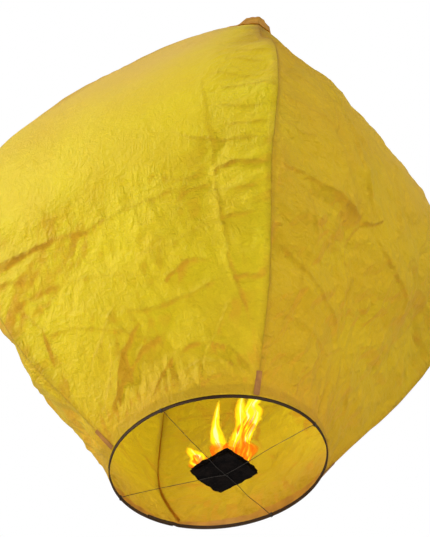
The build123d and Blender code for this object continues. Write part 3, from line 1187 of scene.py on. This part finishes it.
        # a band just above the hoop turns more amber
        hoop_band = ease((0.07 - height) / 0.06)
        layers = {
            # painted shade in the creases, with darker bands along the seams and near the top corners
            "fold": mark,
            # side gores darker golden, partly painted shade; darker and more amber towards the foot
            "tone": np.full_like(u, temper.tone) + 0.15 * foot,
            # amber: painted shade on fold slopes turned from the key light, a little painted sheen up top,
            # more towards the foot and above the hoop
            "warm": temper.warm + 0.25 * foot + 0.15 * top + 2.2 * slope_shade + 0.35 * hoop_band,
            "rough": 0.35 + 0.65 * np.clip(temper.crumple * self.calm(side, u, height / MM), 0, 1),
            # painted sheen: pinkish-tan on the upper paper near the gores' edges
            "blush": 0.75 * top * ease((0.75 - u) / 0.9 if side is Side.FRONT else (u + 0.6) / 1.2),
        }
        row = int(np.argmin(np.abs(heights - self.split)))
        for lower, part in ((True, slice(0, row + 1)), (False, slice(row, None))):
            name = f"{'skirt' if lower else 'gore'}_{side.label}_paper"
            cut = {key: values[part] for key, values in layers.items()}
            piece = self.grid_piece(name, points[part], normals[part], cut, flat[part], self.tissue)
            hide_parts(f"gore_{side.label}")
            area = float(np.sum(2 * half[part][:-1, 0] * np.diff(heights[part]) * self.spare))
            self.bind(piece, lower)
            LOG.info("%s: %d faces", name, len(piece.data.polygons))

    def hem(self, side: Side) -> None:
        """Build the turned-in margin that holds a gore's foot inside the hoop.

        Args:
            side: the gore.
        """
        columns, rows = 120, 7
        noise = Crumple(SEED + TEMPERS[side].seed + 71)
        u = np.linspace(-0.995, 0.995, columns)
        ragged = self.hem_to + 0.0016 * noise.billow(u * 140, u * 0, 22)
        ragged += 0.0008 * noise.billow(u * 140, u * 0 + 5, 6)
        share = np.linspace(0, 1, rows)[:, None]
        height = self.hem_from + (ragged[None, :] - self.hem_from) * share
        grid_u = np.repeat(u[None, :], rows, 0)
        points, normal, _, _ = self.sheet_points(side, grid_u, height)
        ripple = 0.0004 * noise.billow(grid_u * 140, height * 2000, 12)
        points = (points - normal * (self.hem_gap - ripple)[..., None])[:, ::-1]
        normal = -normal[:, ::-1]
        flat = np.stack([grid_u * 0.14, height], -1)
        piece = self.grid_piece(f"hem_{side.label}_paper", points, normal, {}, flat, self.glued)
        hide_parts(f"hem_{side.label}")
        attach(piece, "hoop")

    def fin(self, seam: str) -> None:
        """Build a seam's glued margins, standing inward, in the gores' two lengths.

        Args:
            seam: the seam's name.
        """
        seam_angle = math.radians(SEAMS[seam])
        noise = Crumple(SEED + 203 + int(SEAMS[seam]))
        height = self.heights()
        height = height[(height >= self.fin_from) & (height <= self.fin_to)]
        corner, _ = self.form.radii(height)
        angle = seam_angle + self.form.turn(height)
        out = self.form.outward(angle, height)
        side_way = self.form.outward(angle + math.pi / 2, height)
        x, z = self.form.spine(height)
        centre = np.stack([x, np.zeros_like(x), z], -1)
        wave = self.seam_wave(seam, height)
        mm = height / MM
        sway = 0.0009 * noise.billow(mm, mm * 0, 26) + 0.0004 * noise.billow(mm, mm * 0 + 7, 8)
        width = self.fin_width * (1 + 0.12 * noise.billow(mm, mm * 0 + 3, 40))
        edge = centre + out * (corner + wave - 0.0009)[:, None]
        tip = edge - out * width[:, None] + side_way * sway[:, None]
        middle = (edge + tip) / 2 + side_way * (0.4 * sway)[:, None]
        points = np.stack([edge, middle, tip], 1)
        normal = np.repeat(side_way[:, None, :], 3, 1)
        flat = np.stack([np.zeros_like(points[..., 0]), np.repeat(height[:, None], 3, 1)], -1)
        row = int(np.argmin(np.abs(height - self.split)))
        for lower, part in ((True, slice(0, row + 1)), (False, slice(row, None))):
            name = f"seam_{seam}_{'lower' if lower else 'upper'}"
            piece = self.grid_piece(name, points[part], normal[part], {}, flat[part], self.glued)
            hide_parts(f"seam_{seam}")
            self.bind(piece, lower)

    def around(self, turns: np.ndarray, height: np.ndarray) -> np.ndarray:
        """Return points on the smooth form, at quarter turns from the front gore's first seam.

        Args:
            turns: places round the form, 1 for each gore.
            height: heights along the spine, one column for each turn.

        Returns:
            The points, with a last axis of three.
        """
        points = np.zeros((*height.shape, 3))
        for index, side in enumerate(Side):
            part = (turns >= index) & (turns <= index + 1)
            u = (turns[part] - index) * 2 - 1
            points[:, part] = self.form.place(side, np.repeat(u[None], len(height), 0), height[:, part])
        return points

    def crown_patch(self) -> None:
        """Build the collar glued inside the gathered top."""
        columns, rows = 97, 7
        turns = np.linspace(0, 4, columns)
        height = np.repeat(np.linspace(self.patch_from, self.patch_to, rows)[:, None], columns, 1)
        angle = math.radians(-90.0) + (turns - 0.5) * math.pi / 2
        out = self.form.outward(np.repeat(angle[None], rows, 0), height)
        points = self.around(turns, height) - out * self.patch_gap
        flat = np.stack([np.repeat(turns[None] * 0.1, rows, 0), height], -1)
        piece = self.grid_piece("crown_patch_paper", points, out, {}, flat, self.glued)
        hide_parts("crown_patch")
        self.bind(piece, lower=False)

    def crown_tip(self) -> None:
        """Build the folded square cap over the gathered ends of the gores."""
        columns, noise = 96, Crumple(SEED + 99)
        turns = np.linspace(0, 4, columns, endpoint=False)
        angle = math.radians(-90.0) + (turns - 0.5) * math.pi / 2
        rings = []
        for height, gap in self.cap_levels:
            tall = np.full(columns, height)
            out = self.form.outward(angle, tall)
            pinch = 0.0018 * noise.facets(turns * 24, tall / MM * 0.5, 7)
            pinch += 0.0010 * noise.billow(turns * 24, tall / MM, 4)
            ring = self.around(turns, np.minimum(tall, self.form.crown)[None])[0]
            ring = ring + out * (gap + pinch)[:, None]
            x, z = self.form.spine(tall)
            x0, z0 = self.form.spine(np.minimum(tall, self.form.crown))
            ring = ring + np.stack([x - x0, np.zeros_like(x), z - z0], -1)
            if not rings:
                lean = self.form.tilt(tall)
                droop = 0.0045 * noise.billow(turns * 24, tall * 0, 8)
                ring = ring + droop[:, None] * np.stack([np.sin(lean), 0 * lean, np.cos(lean)], -1)
            rings.append(ring)
        top = rings[-1].mean(0)
        for share in (0.75, 0.5, 0.25):
            lift = 0.0008 * noise.facets(turns * 24 * share, turns * 0 + 60 * share, 11)
            ring = top + (rings[-1] - top) * share
            rings.append(ring + lift[:, None] * np.array([0.4, 0.0, 0.92]))
        points = np.vstack([*rings, top[None]])
        faces = ring_faces(len(rings), columns)
        last = (len(rings) - 1) * columns
        faces += [(last + c, last + (c + 1) % columns, len(points) - 1) for c in range(columns)]
        piece = make_piece("crown_tip_paper", points, faces, self.glued)
        wall = piece.modifiers.new("wall", "SOLIDIFY")
        wall.thickness = self.cap_wall
        wall.offset = -1.0
        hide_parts("crown_tip")
        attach(piece, "crown")


# ---------------------------------------------------------------- geometry node trees
class Tree:
    """A Geometry Nodes tree under construction."""

    def __init__(self, name: str, inputs: dict[str, tuple[str, Any]]) -> None:
        """Start a tree with named inputs, each a socket type and a default.

        Args:
            name: the tree's name.
            inputs: each input's socket type and default, by name.
        """
        self.group = bpy.data.node_groups.new(name, "GeometryNodeTree")
        face = self.group.interface
        face.new_socket("Geometry", in_out="INPUT", socket_type="NodeSocketGeometry")
        for key, (kind, default) in inputs.items():
            socket = face.new_socket(key, in_out="INPUT", socket_type=kind)
            if default is not None:
                socket.default_value = default
        face.new_socket("Geometry", in_out="OUTPUT", socket_type="NodeSocketGeometry")
        self.start = self.group.nodes.new("NodeGroupInput")
        self.end = self.group.nodes.new("NodeGroupOutput")

    def node(self, kind: str, settings: Extras = None, inputs: Extras = None) -> bpy.types.Node:
        """Add a node, by its full type, with its settings and its inputs' values or links.

        Args:
            kind: the node's full type.
            settings: its own properties.
            inputs: values, sockets or nodes for its inputs, by name or number.

        Returns:
            The new node.
        """
        made = self.group.nodes.new(kind)
        for key, item in (settings or {}).items():
            setattr(made, key, item)
        for key, item in (inputs or {}).items():
            if isinstance(item, bpy.types.Node):
                self.group.links.new(item.outputs[0], made.inputs[key])
            elif isinstance(item, bpy.types.NodeSocket):
                self.group.links.new(item, made.inputs[key])
            else:
                made.inputs[key].default_value = item
        return made

    def finish(self, geometry: bpy.types.Node, material: bpy.types.Material) -> None:
        """Realize the instances, set their material and join them to the output."""
        real = self.node("GeometryNodeRealizeInstances", None, {0: geometry})
        dressed = self.node("GeometryNodeSetMaterial", None, {"Geometry": real, "Material": material})
        self.group.links.new(dressed.outputs[0], self.end.inputs[0])

    def apply(self, holder: bpy.types.Object, values: dict[str, Any], name: str) -> bpy.types.Object:
        """Run the tree on an object and return its result as a plain mesh piece.

        Args:
            holder: the object that the tree starts from; it is removed.
            values: the inputs' values, by name.
            name: the new piece's name.

        Returns:
            The new piece.
        """
        modifier = holder.modifiers.new("tree", "NODES")
        modifier.node_group = self.group
        for item in self.group.interface.items_tree:
            if getattr(item, "in_out", "") == "INPUT" and item.name in values:
                modifier[item.identifier] = values[item.name]
        bpy.context.view_layer.update()
        evaluated = holder.evaluated_get(bpy.context.evaluated_depsgraph_get())
        mesh = bpy.data.meshes.new_from_object(evaluated)
        mesh.name = name
        bpy.data.objects.remove(holder)
        return link(name, mesh)


# ---------------------------------------------------------------- hoop and wires
@dataclass
class Hoop:
    """The bamboo strip with its lapped ends, rivets, crossed wires and their tie."""

    radius: float = 0.180
    thickness: float = 0.0022
    height: float = 0.007
    splice_start: float = math.radians(148.0)
    splice_arc: float = math.radians(16.0)
    wire: float = 0.0005
    wire_height: float = 0.0035
    ends: dict[str, float] = field(
        default_factory=lambda: {"left": 187.9, "right": 3.3, "front": 272.0, "back": 92.9}
    )
    crossing: tuple[float, float] = (-0.009, 0.031)
    turns: int = 3

    def build(self) -> None:
        """Build the hoop and everything fastened to it."""
        self.bamboo = BambooFinish(radius=self.radius).make()
        self.iron = WireFinish().make()
        self.tape = GluedTissueFinish(
            light=(0.40, 0.17, 0.018, 1.0), dark=(0.20, 0.07, 0.008, 1.0), let_through=0.1
        ).make("seam_tape")
        self.strip()
        self.wires()
        self.wraps()
        for number in (1, 2):
            self.dress(f"hoop_rivet_{number}", self.iron)
        for seam in SEAMS:
            self.dress(f"foot_tab_{seam}", self.tape)
        self.dress("wire_tie", self.iron)

    def strip(self) -> None:
        """Build the bamboo strip, a little uneven, with one end lapped inside the other."""
        noise = Crumple(SEED + 41)
        count = 360
        lap = round(count * self.splice_arc / (2 * math.pi))
        rings = []
        for index in range(count + lap + 1):
            angle = self.splice_start + 2 * math.pi * index / count
            share = ease((index - count + 3) / 3.0)
            outer = self.radius - (self.thickness + 0.00005) * share
            wear = 0.00018 * float(noise.billow(np.array(index * 1.0), np.array(0.0), 9))
            node = 0.0004 * math.exp(-(((index % 120) - 60) / 1.6) ** 2)
            outer = outer + min(wear, 0.0) + (node if share < 0.5 else 0.0) * 0.4
            inner = outer - self.thickness * 0.93 - wear - node
            low, high = 0.0, self.height - 0.0002 - abs(wear)
            soft = 0.0005
            section = [
                (outer, low + soft), (outer, high - soft), (outer - soft, high), (inner + soft, high),
                (inner, high - soft), (inner, low + soft), (inner + soft, low), (outer - soft, low),
            ]
            way = np.array([math.cos(angle), math.sin(angle), 0.0])
            rings.append(np.array([way * r + np.array([0.0, 0.0, z]) for r, z in section]))
        sides = len(rings[0])
        faces = ring_faces(len(rings), sides, inward=True)
        last = (len(rings) - 1) * sides
        faces += [tuple(range(sides)), tuple(range(last, last + sides))[::-1]]
        piece = make_piece("hoop_strip", np.vstack(rings), faces, self.bamboo, smooth=False)
        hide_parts("hoop")
        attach(piece, "hoop")
        LOG.info("hoop strip: %d faces", len(faces))

    def dress(self, node: str, material: bpy.types.Material) -> None:
        """Give one of the frame's own nodes a finish."""
        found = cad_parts[node]
        for slot in found.material_slots:
            slot.material = material

    def corner(self, end: str, radius: float) -> tuple[float, float, float]:
        """Return the point at a wire's end, at a radius from the hoop's middle."""
        angle = math.radians(self.ends[end])
        return radius * math.cos(angle), radius * math.sin(angle), self.wire_height

    def wires(self) -> None:
        """Build the two crossed wires, from inside the strip to inside the strip."""
        noise = Crumple(SEED + 55)
        tip, bend = self.radius - 0.0005, self.radius - 0.012
        shares = (0.35, 0.7, 0.93)
        for name, start, end, dip in (
            ("wire_side", "left", "right", 0.0024),
            ("wire_cross", "front", "back", 0.00365),
        ):
            middle = (*self.crossing, dip)
            first, last = np.array(self.corner(start, bend)), np.array(self.corner(end, bend))
            corners = [self.corner(start, tip), self.corner(start, bend)]
            corners += [tuple(first + (np.array(middle) - first) * share) for share in shares]
            corners.append(middle)
            corners += [tuple(last + (np.array(middle) - last) * share) for share in shares[::-1]]
            corners += [self.corner(end, bend), self.corner(end, tip)]
            line = soft_line(corners)
            run = np.linspace(0, 100, len(line))
            gate = np.sin(np.linspace(0, math.pi, len(line))) ** 0.5
            kink = 0.0022 if name == "wire_cross" else 0.0014
            across = np.array([0.0, 1.0, 0.0]) if name == "wire_side" else np.array([1.0, 0.0, 0.0])
            line = line + (kink * gate * noise.billow(run, run * 0 + len(name), 9))[:, None] * across
            line[:, 2] += 0.0003 * gate * noise.billow(run, run * 0 + 5, 5)
            points, faces = tube(line, self.wire)
            piece = make_piece(f"{name}_run", points, faces, self.iron)
            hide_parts(name)
            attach(piece, "hoop")

    def wraps(self) -> None:
        """Build the turns of wire round the strip at the four ends, as one piece."""
        tree = Tree(
            "wire_wraps",
            {
                "Turns": ("NodeSocketInt", 3),
                "Pitch": ("NodeSocketFloat", 0.0012),
                "Width": ("NodeSocketFloat", 0.004),
                "Height": ("NodeSocketFloat", 0.008),
                "Wire": ("NodeSocketFloat", 0.0005),
                "Seed": ("NodeSocketInt", SEED),
            },
        )
        inputs = tree.start.outputs
        sizes = {"Width": inputs["Width"], "Height": inputs["Height"]}
        loop = tree.node("GeometryNodeCurvePrimitiveQuadrilateral", None, sizes)
        rounded = tree.node("GeometryNodeFilletCurve", {"mode": "POLY"}, {"Curve": loop, "Radius": 0.0012})
        fillet_count = rounded.inputs.get("Count")
        if fillet_count is not None:
            fillet_count.default_value = 3
        round_wire = {"Resolution": 6, "Radius": inputs["Wire"]}
        ring = tree.node("GeometryNodeCurvePrimitiveCircle", None, round_wire)
        turn = tree.node("GeometryNodeCurveToMesh", None, {"Curve": rounded, "Profile Curve": ring})
        row = tree.node("GeometryNodeMeshLine", None, {"Count": inputs["Turns"], "Offset": (0.0, 0.0, 0.0)})
        spacing = tree.node("ShaderNodeCombineXYZ", None, {"Z": inputs["Pitch"]})
        tree.group.links.new(spacing.outputs[0], row.inputs["Offset"])
        slant = tree.node(
            "FunctionNodeRandomValue", {"data_type": "FLOAT_VECTOR"},
            {0: (-0.03, -0.12, -0.05), 1: (0.03, 0.12, 0.05), "Seed": inputs["Seed"]},
        )
        one_turn = {"Points": row, "Instance": turn, "Rotation": slant.outputs[0]}
        placed = tree.node("GeometryNodeInstanceOnPoints", None, one_turn)
        whole = tree.node("GeometryNodeRealizeInstances", None, {0: placed})
        each_end = {"Points": inputs["Geometry"], "Instance": whole}
        again = tree.node("GeometryNodeInstanceOnPoints", None, each_end)
        vector = {"data_type": "FLOAT_VECTOR"}
        facing = tree.node("GeometryNodeInputNamedAttribute", vector, {"Name": "facing"})
        tree.group.links.new(facing.outputs[0], again.inputs["Rotation"])
        tree.finish(again, self.iron)
        places = bpy.data.meshes.new("wrap_places")
        middle = self.radius - self.thickness / 2
        spots = [self.corner(end, middle) for end in self.ends]
        places.from_pydata(spots, [], [])
        facing_layer = places.attributes.new("facing", "FLOAT_VECTOR", "POINT")
        for index, end in enumerate(self.ends):
            angle = math.radians(self.ends[end])
            frame_of = Matrix((
                (math.cos(angle), 0.0, -math.sin(angle)),
                (math.sin(angle), 0.0, math.cos(angle)),
                (0.0, 1.0, 0.0),
            ))
            facing_layer.data[index].vector = frame_of.to_euler()
        values = {
            "Turns": self.turns,
            "Width": self.thickness + 0.0016,
            "Height": self.height + 0.0009,
            "Wire": self.wire,
        }
        piece = tree.apply(link("wrap_places", places), values, "wire_end_wraps")
        piece.data.polygons.foreach_set("use_smooth", [True] * len(piece.data.polygons))
        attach(piece, "hoop")
        LOG.info("wire wraps: %d faces", len(piece.data.polygons))


# ---------------------------------------------------------------- pad and flames
@dataclass
class FuelPad:
    """The burnt pad: three charred boards with flakes of ash, and the flames on it."""

    side: float = 0.080
    thickness: float = 0.0039
    pitch: float = 0.0040
    foot: float = 0.0045
    centre: tuple[float, float] = (-0.009, 0.031)
    turn: float = math.radians(-6.0)
    names: tuple[str, ...] = ("fuel_layer_lower", "fuel_layer_middle", "fuel_layer_upper")
    cells: int = 34
    flake_density: float = 14000.0
    flake_size: float = 0.0022

    def build(self) -> None:
        """Build the layers, the flakes and the flames."""
        self.char = CharFinish().make()
        layers = [self.layer(number, name) for number, name in enumerate(self.names)]
        self.flakes(layers[0])
        Flames(self.centre, self.foot + 3 * self.pitch).build()

    def layer(self, number: int, name: str) -> bpy.types.Object:
        """Build one charred board with a ragged edge.

        Args:
            number: its place in the stack, from 0 at the bottom.
            name: the frame's node that it stands for.

        Returns:
            The new piece.
        """
        noise = Crumple(SEED + 60 + number)
        n = self.cells
        share = np.linspace(-1, 1, n + 1)
        gx, gy = np.meshgrid(share, share)
        angle = np.arctan2(gy, gx)
        edge = np.maximum(np.abs(gx), np.abs(gy))
        round_off = 1 - 0.055 * ease((np.abs(gx * gy) - 0.62) / 0.38)
        bitten = noise.billow(np.cos(angle) * 60 + 80, np.sin(angle) * 60 + 80, 11)
        ragged = 1.03 + 0.05 * edge**4 * (bitten - 0.2)
        x = gx * self.side / 2 * round_off * ragged
        y = gy * self.side / 2 * round_off * ragged
        lump = 0.0007 * noise.facets(gx * 40, gy * 40, 14) + 0.0004 * noise.billow(gx * 40, gy * 40, 5)
        droop = 0.0004 * edge**3
        low = self.foot + number * self.pitch
        bottom = low + 0.0004 + np.abs(lump) * 0.6 + droop * (number > 0)
        top = low + self.thickness - 0.0002 + np.maximum(lump, -0.0006) * 0.5
        turn = Matrix.Rotation(self.turn, 3, "Z")
        shift = np.array([*self.centre, 0.0])
        spun = np.array(turn).T
        sheets = [np.stack([x, y, z], -1).reshape(-1, 3) @ spun + shift for z in (bottom, top)]
        faces = sheet_faces(n + 1, n + 1, flip=True)
        piece = make_piece(f"{name}_char", np.vstack(sheets), faces, self.char)
        soften = piece.modifiers.new("soften", "BEVEL")
        soften.width = 0.0006
        soften.segments = 2
        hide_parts(name)
        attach(piece, "fuel_cell")
        return piece

    def flakes(self, board: bpy.types.Object) -> None:
        """Scatter flattened flakes of ash over the lowest board."""
        tree = Tree(
            "ash_flakes",
            {
                "Density": ("NodeSocketFloat", self.flake_density),
                "Size": ("NodeSocketFloat", self.flake_size),
                "Seed": ("NodeSocketInt", SEED),
            },
        )
        inputs = tree.start.outputs
        spread = tree.node(
            "GeometryNodeDistributePointsOnFaces", None,
            {"Mesh": inputs["Geometry"], "Density": inputs["Density"], "Seed": inputs["Seed"]},
        )
        flake = tree.node("GeometryNodeMeshIcoSphere", None, {"Radius": inputs["Size"], "Subdivisions": 1})
        thin = tree.node("GeometryNodeTransform", None, {"Geometry": flake, "Scale": (1.0, 0.7, 0.16)})
        range_of = {2: 0.3, 3: 1.0, "Seed": inputs["Seed"]}
        scale = tree.node("FunctionNodeRandomValue", {"data_type": "FLOAT"}, range_of)
        scattered = {
            "Points": spread.outputs["Points"],
            "Instance": thin,
            "Rotation": spread.outputs["Rotation"],
            "Scale": scale.outputs[1],
        }
        placed = tree.node("GeometryNodeInstanceOnPoints", None, scattered)
        tree.finish(placed, self.char)
        holder = link("flake_ground", board.data.copy())
        values = {"Density": self.flake_density, "Size": self.flake_size, "Seed": SEED}
        piece = tree.apply(holder, values, "ash_flakes")
        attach(piece, "fuel_cell")
        LOG.info("ash flakes: %d faces", len(piece.data.polygons))


class Heat(Enum):
    """How hot a tongue of flame looks."""

    BRIGHT = "bright"
    VEIL = "veil"


@dataclass(frozen=True)
class Tongue:
    """One tongue of flame: its foot and tip from the pad's centre, its half width and its sway."""

    foot: tuple[float, float]
    tip: tuple[float, float, float]
    half_width: float
    sway: float
    heat: Heat = Heat.BRIGHT
    lift: float = 0.0


@dataclass
class Flames:
    """The flames that stand on the pad, each made of thin leaves crossed on its middle line."""

    centre: tuple[float, float]
    base: float
    leaf_turns: tuple[float, ...] = (28.0, 88.0, 148.0)
    thickness: float = 0.0008
    tongues: tuple[Tongue, ...] = (
        Tongue((-0.006, 0.006), (-0.004, 0.010, 0.150), 0.0105, 0.0036),
        Tongue((0.012, 0.003), (0.042, 0.028, 0.148), 0.0135, -0.0040),
        Tongue((0.038, 0.012), (0.056, 0.036, 0.128), 0.0085, 0.0050),
        Tongue((0.032, 0.018), (0.068, 0.042, 0.154), 0.0180, -0.0040, Heat.BRIGHT, 0.072),
        Tongue((-0.028, -0.012), (-0.044, -0.022, 0.050), 0.0140, 0.0030),
        Tongue((0.024, 0.006), (0.046, 0.030, 0.110), 0.0200, 0.0030, Heat.VEIL),
        Tongue((0.000, 0.000), (0.002, 0.004, 0.046), 0.0380, 0.0020, Heat.VEIL),
        Tongue((-0.028, -0.012), (-0.036, -0.018, 0.036), 0.0180, 0.0020, Heat.VEIL),
        Tongue((0.036, 0.006), (0.042, 0.012, 0.042), 0.0120, 0.0020, Heat.VEIL),
    )

    def build(self) -> None:
        """Build the bright tongues and the orange veils behind them."""
        bright = FlameFinish().make("flame")
        veil = FlameFinish(
            edge=(0.75, 0.05, 0.002, 1.0),
            body=(1.0, 0.17, 0.004, 1.0),
            heart=(1.0, 0.42, 0.01, 1.0),
            cover=0.6,
        ).make("flame_veil")
        for heat, material in ((Heat.BRIGHT, bright), (Heat.VEIL, veil)):
            self.join(f"flame_{heat.value}", material, [t for t in self.tongues if t.heat is heat])

    def half_width(self, tongue: Tongue, t: np.ndarray, noise: Crumple) -> np.ndarray:
        """Return a tongue's half width at shares of its height.

        Args:
            tongue: the tongue.
            t: shares of its height, from 0 to 1.
            noise: the pattern that swells it.

        Returns:
            The half widths, in metres.
        """
        body = 0.62 + 0.55 * np.sin(np.clip(t * 1.9, 0, 1) * math.pi / 2)
        taper = np.clip(1 - t, 0, 1) ** 0.32
        swell = 1 + 0.40 * noise.billow(t * 4.6, t * 0 + 2, 1.0)
        return np.maximum(tongue.half_width * body * taper * swell, 0.0004)

    def join(self, name: str, material: bpy.types.Material, tongues: Sequence[Tongue]) -> None:
        """Build some tongues as one piece.

        Args:
            name: the piece's name.
            material: its finish.
            tongues: the tongues in it.
        """
        points, faces, rises, edges = [], [], [], []
        rows, columns = 44, 10
        t = np.linspace(0, 1, rows + 1)
        v = np.linspace(-1, 1, columns + 1)
        start = 0
        for number, tongue in enumerate(tongues):
            noise = Crumple(SEED + 80 + number + 10 * len(name))
            origin = np.array([*self.centre, self.base])
            foot = origin + np.array([*tongue.foot, tongue.lift - 0.001])
            tip = origin + np.array(tongue.tip)
            spine = foot + (tip - foot) * t[:, None]
            drift = tongue.sway * np.sin(t * 7.5 + number) * ease(t * 3)
            spine[:, 0] += drift
            spine[:, 1] += 0.6 * drift
            half = self.half_width(tongue, t, noise)
            for turn in self.leaf_turns:
                way = np.array([math.cos(math.radians(turn)), math.sin(math.radians(turn)), 0.0])
                face = np.array([-way[1], way[0], 0.0])
                skew = 0.25 * noise.billow(t * 4 + turn, t * 0, 1.0)
                grid = spine[:, None] + ((v[None] + skew[:, None]) * half[:, None])[..., None] * way
                curl = 0.25 * half[:, None] * np.sin(v[None] * 2.2 + t[:, None] * 5)
                grid = grid + curl[..., None] * face
                lens = (self.thickness * (1 - v**2) + 0.00005)[None, :, None] / 2 * face
                for sheet in (grid - lens, grid + lens):
                    points.append(sheet.reshape(-1, 3))
                    rises.append(np.repeat(t, columns + 1))
                    edges.append(np.tile(np.abs(v), rows + 1))
                faces += sheet_faces(rows + 1, columns + 1, start)
                start += 2 * (rows + 1) * (columns + 1)
        piece = make_piece(name, np.vstack(points), faces, material)
        carry(piece, "rise", np.concatenate(rises))
        carry(piece, "edge", np.concatenate(edges))
        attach(piece, "fuel_cell")
        LOG.info("%s: %d faces", name, len(faces))


# ---------------------------------------------------------------- studio
@dataclass
class Studio:
    """The camera, the soft lights and the pale floor far below the floating lantern."""

    place: tuple[float, float, float] = (1.738, -3.197, -2.667)
    aim: tuple[float, float, float] = (0.090, -0.100, 0.309)
    roll: float = math.radians(-6.86)
    lens: float = 184.6
    floor: float = -3.0

    def build(self) -> None:
        """Set up the camera, lights, world and floor."""
        scene = bpy.context.scene
        scene.view_settings.view_transform = "Standard"
        camera = link("camera", bpy.data.cameras.new("camera"))
        way = (Vector(self.aim) - Vector(self.place)).normalized()
        turn = way.to_track_quat("-Z", "Y").to_matrix().to_4x4() @ Matrix.Rotation(self.roll, 4, "Z")
        camera.matrix_world = Matrix.Translation(self.place) @ turn
        camera.data.lens = self.lens
        camera.data.clip_end = 200.0
        scene.camera = camera
        self.world()
        self.light("key", (-3.9, -3.6, 3.5), 0.5, 440.0, (1.0, 0.985, 0.95))
        self.light("fill", (4.6, -0.2, 1.6), 0.9, 155.0, (1.0, 0.99, 0.97))
        self.light("under", (0.6, -3.0, -2.3), 1.4, 60.0, (1.0, 0.99, 0.97))
        self.inside((0.03, 0.0, 0.34), 0.10, 4.5)
        self.ground()

    def light(
        self, name: str, place: Sequence[float], size: float, power: float, colour: Sequence[float]
    ) -> None:
        """Add one square soft light that faces the envelope's middle.

        Args:
            name: the light's name.
            place: where it stands.
            size: its side.
            power: its power in watts.
            colour: its colour.
        """
        data = bpy.data.lights.new(name, "AREA")
        data.size = size
        data.energy = power
        data.color = colour
        lamp = link(name, data)
        way = (Vector(self.aim) - Vector(place)).normalized()
        lamp.matrix_world = Matrix.Translation(place) @ way.to_track_quat("-Z", "Y").to_matrix().to_4x4()

    def inside(self, place: Sequence[float], radius: float, power: float) -> None:
        """Add the flames' light on the inside of the paper.

        Args:
            place: where it is.
            radius: its radius.
            power: its power in watts.
        """
        data = bpy.data.lights.new("inside", "POINT")
        data.shadow_soft_size = radius
        data.energy = power
        data.color = (1.0, 0.98, 0.85)
        link("inside", data).location = place

    def world(self) -> None:
        """Light the scene with an even white sky, which is seen brighter than it lights."""
        world = bpy.data.worlds.new("sky")
        bpy.context.scene.world = world
        world.use_nodes = True
        tree = world.node_tree
        tree.nodes.clear()
        seen = tree.nodes.new("ShaderNodeLightPath")
        dim = tree.nodes.new("ShaderNodeBackground")
        dim.inputs["Color"].default_value = (0.96, 0.98, 1.0, 1.0)
        dim.inputs["Strength"].default_value = 0.42
        bright = tree.nodes.new("ShaderNodeBackground")
        bright.inputs["Strength"].default_value = 1.0
        bright.inputs["Color"].default_value = (1.0, 1.0, 1.0, 1.0)
        mix = tree.nodes.new("ShaderNodeMixShader")
        out = tree.nodes.new("ShaderNodeOutputWorld")
        tree.links.new(seen.outputs["Is Camera Ray"], mix.inputs[0])
        tree.links.new(dim.outputs[0], mix.inputs[1])
        tree.links.new(bright.outputs[0], mix.inputs[2])
        tree.links.new(mix.outputs[0], out.inputs["Surface"])

    def ground(self) -> None:
        """Lay the pale floor."""
        half = 30.0
        around = ((-half, -half), (half, -half), (half, half), (-half, half))
        corners = [(x, y, self.floor) for x, y in around]
        s = Shader("floor")
        inputs = {"Base Color": (0.9, 0.9, 0.89, 1.0), "Roughness": 0.9}
        material = s.surface(s.node("BsdfPrincipled", None, inputs))
        make_piece("floor", np.array(corners), [(0, 1, 2, 3)], material, smooth=False)


def main() -> None:
    """Build the lantern and its studio, in order."""
    logging.basicConfig(level=logging.INFO, format="%(name)s: %(message)s")
    Studio().build()
    Envelope().build()
    Hoop().build()
    FuelPad().build()


if __name__ == "__main__":
    main()
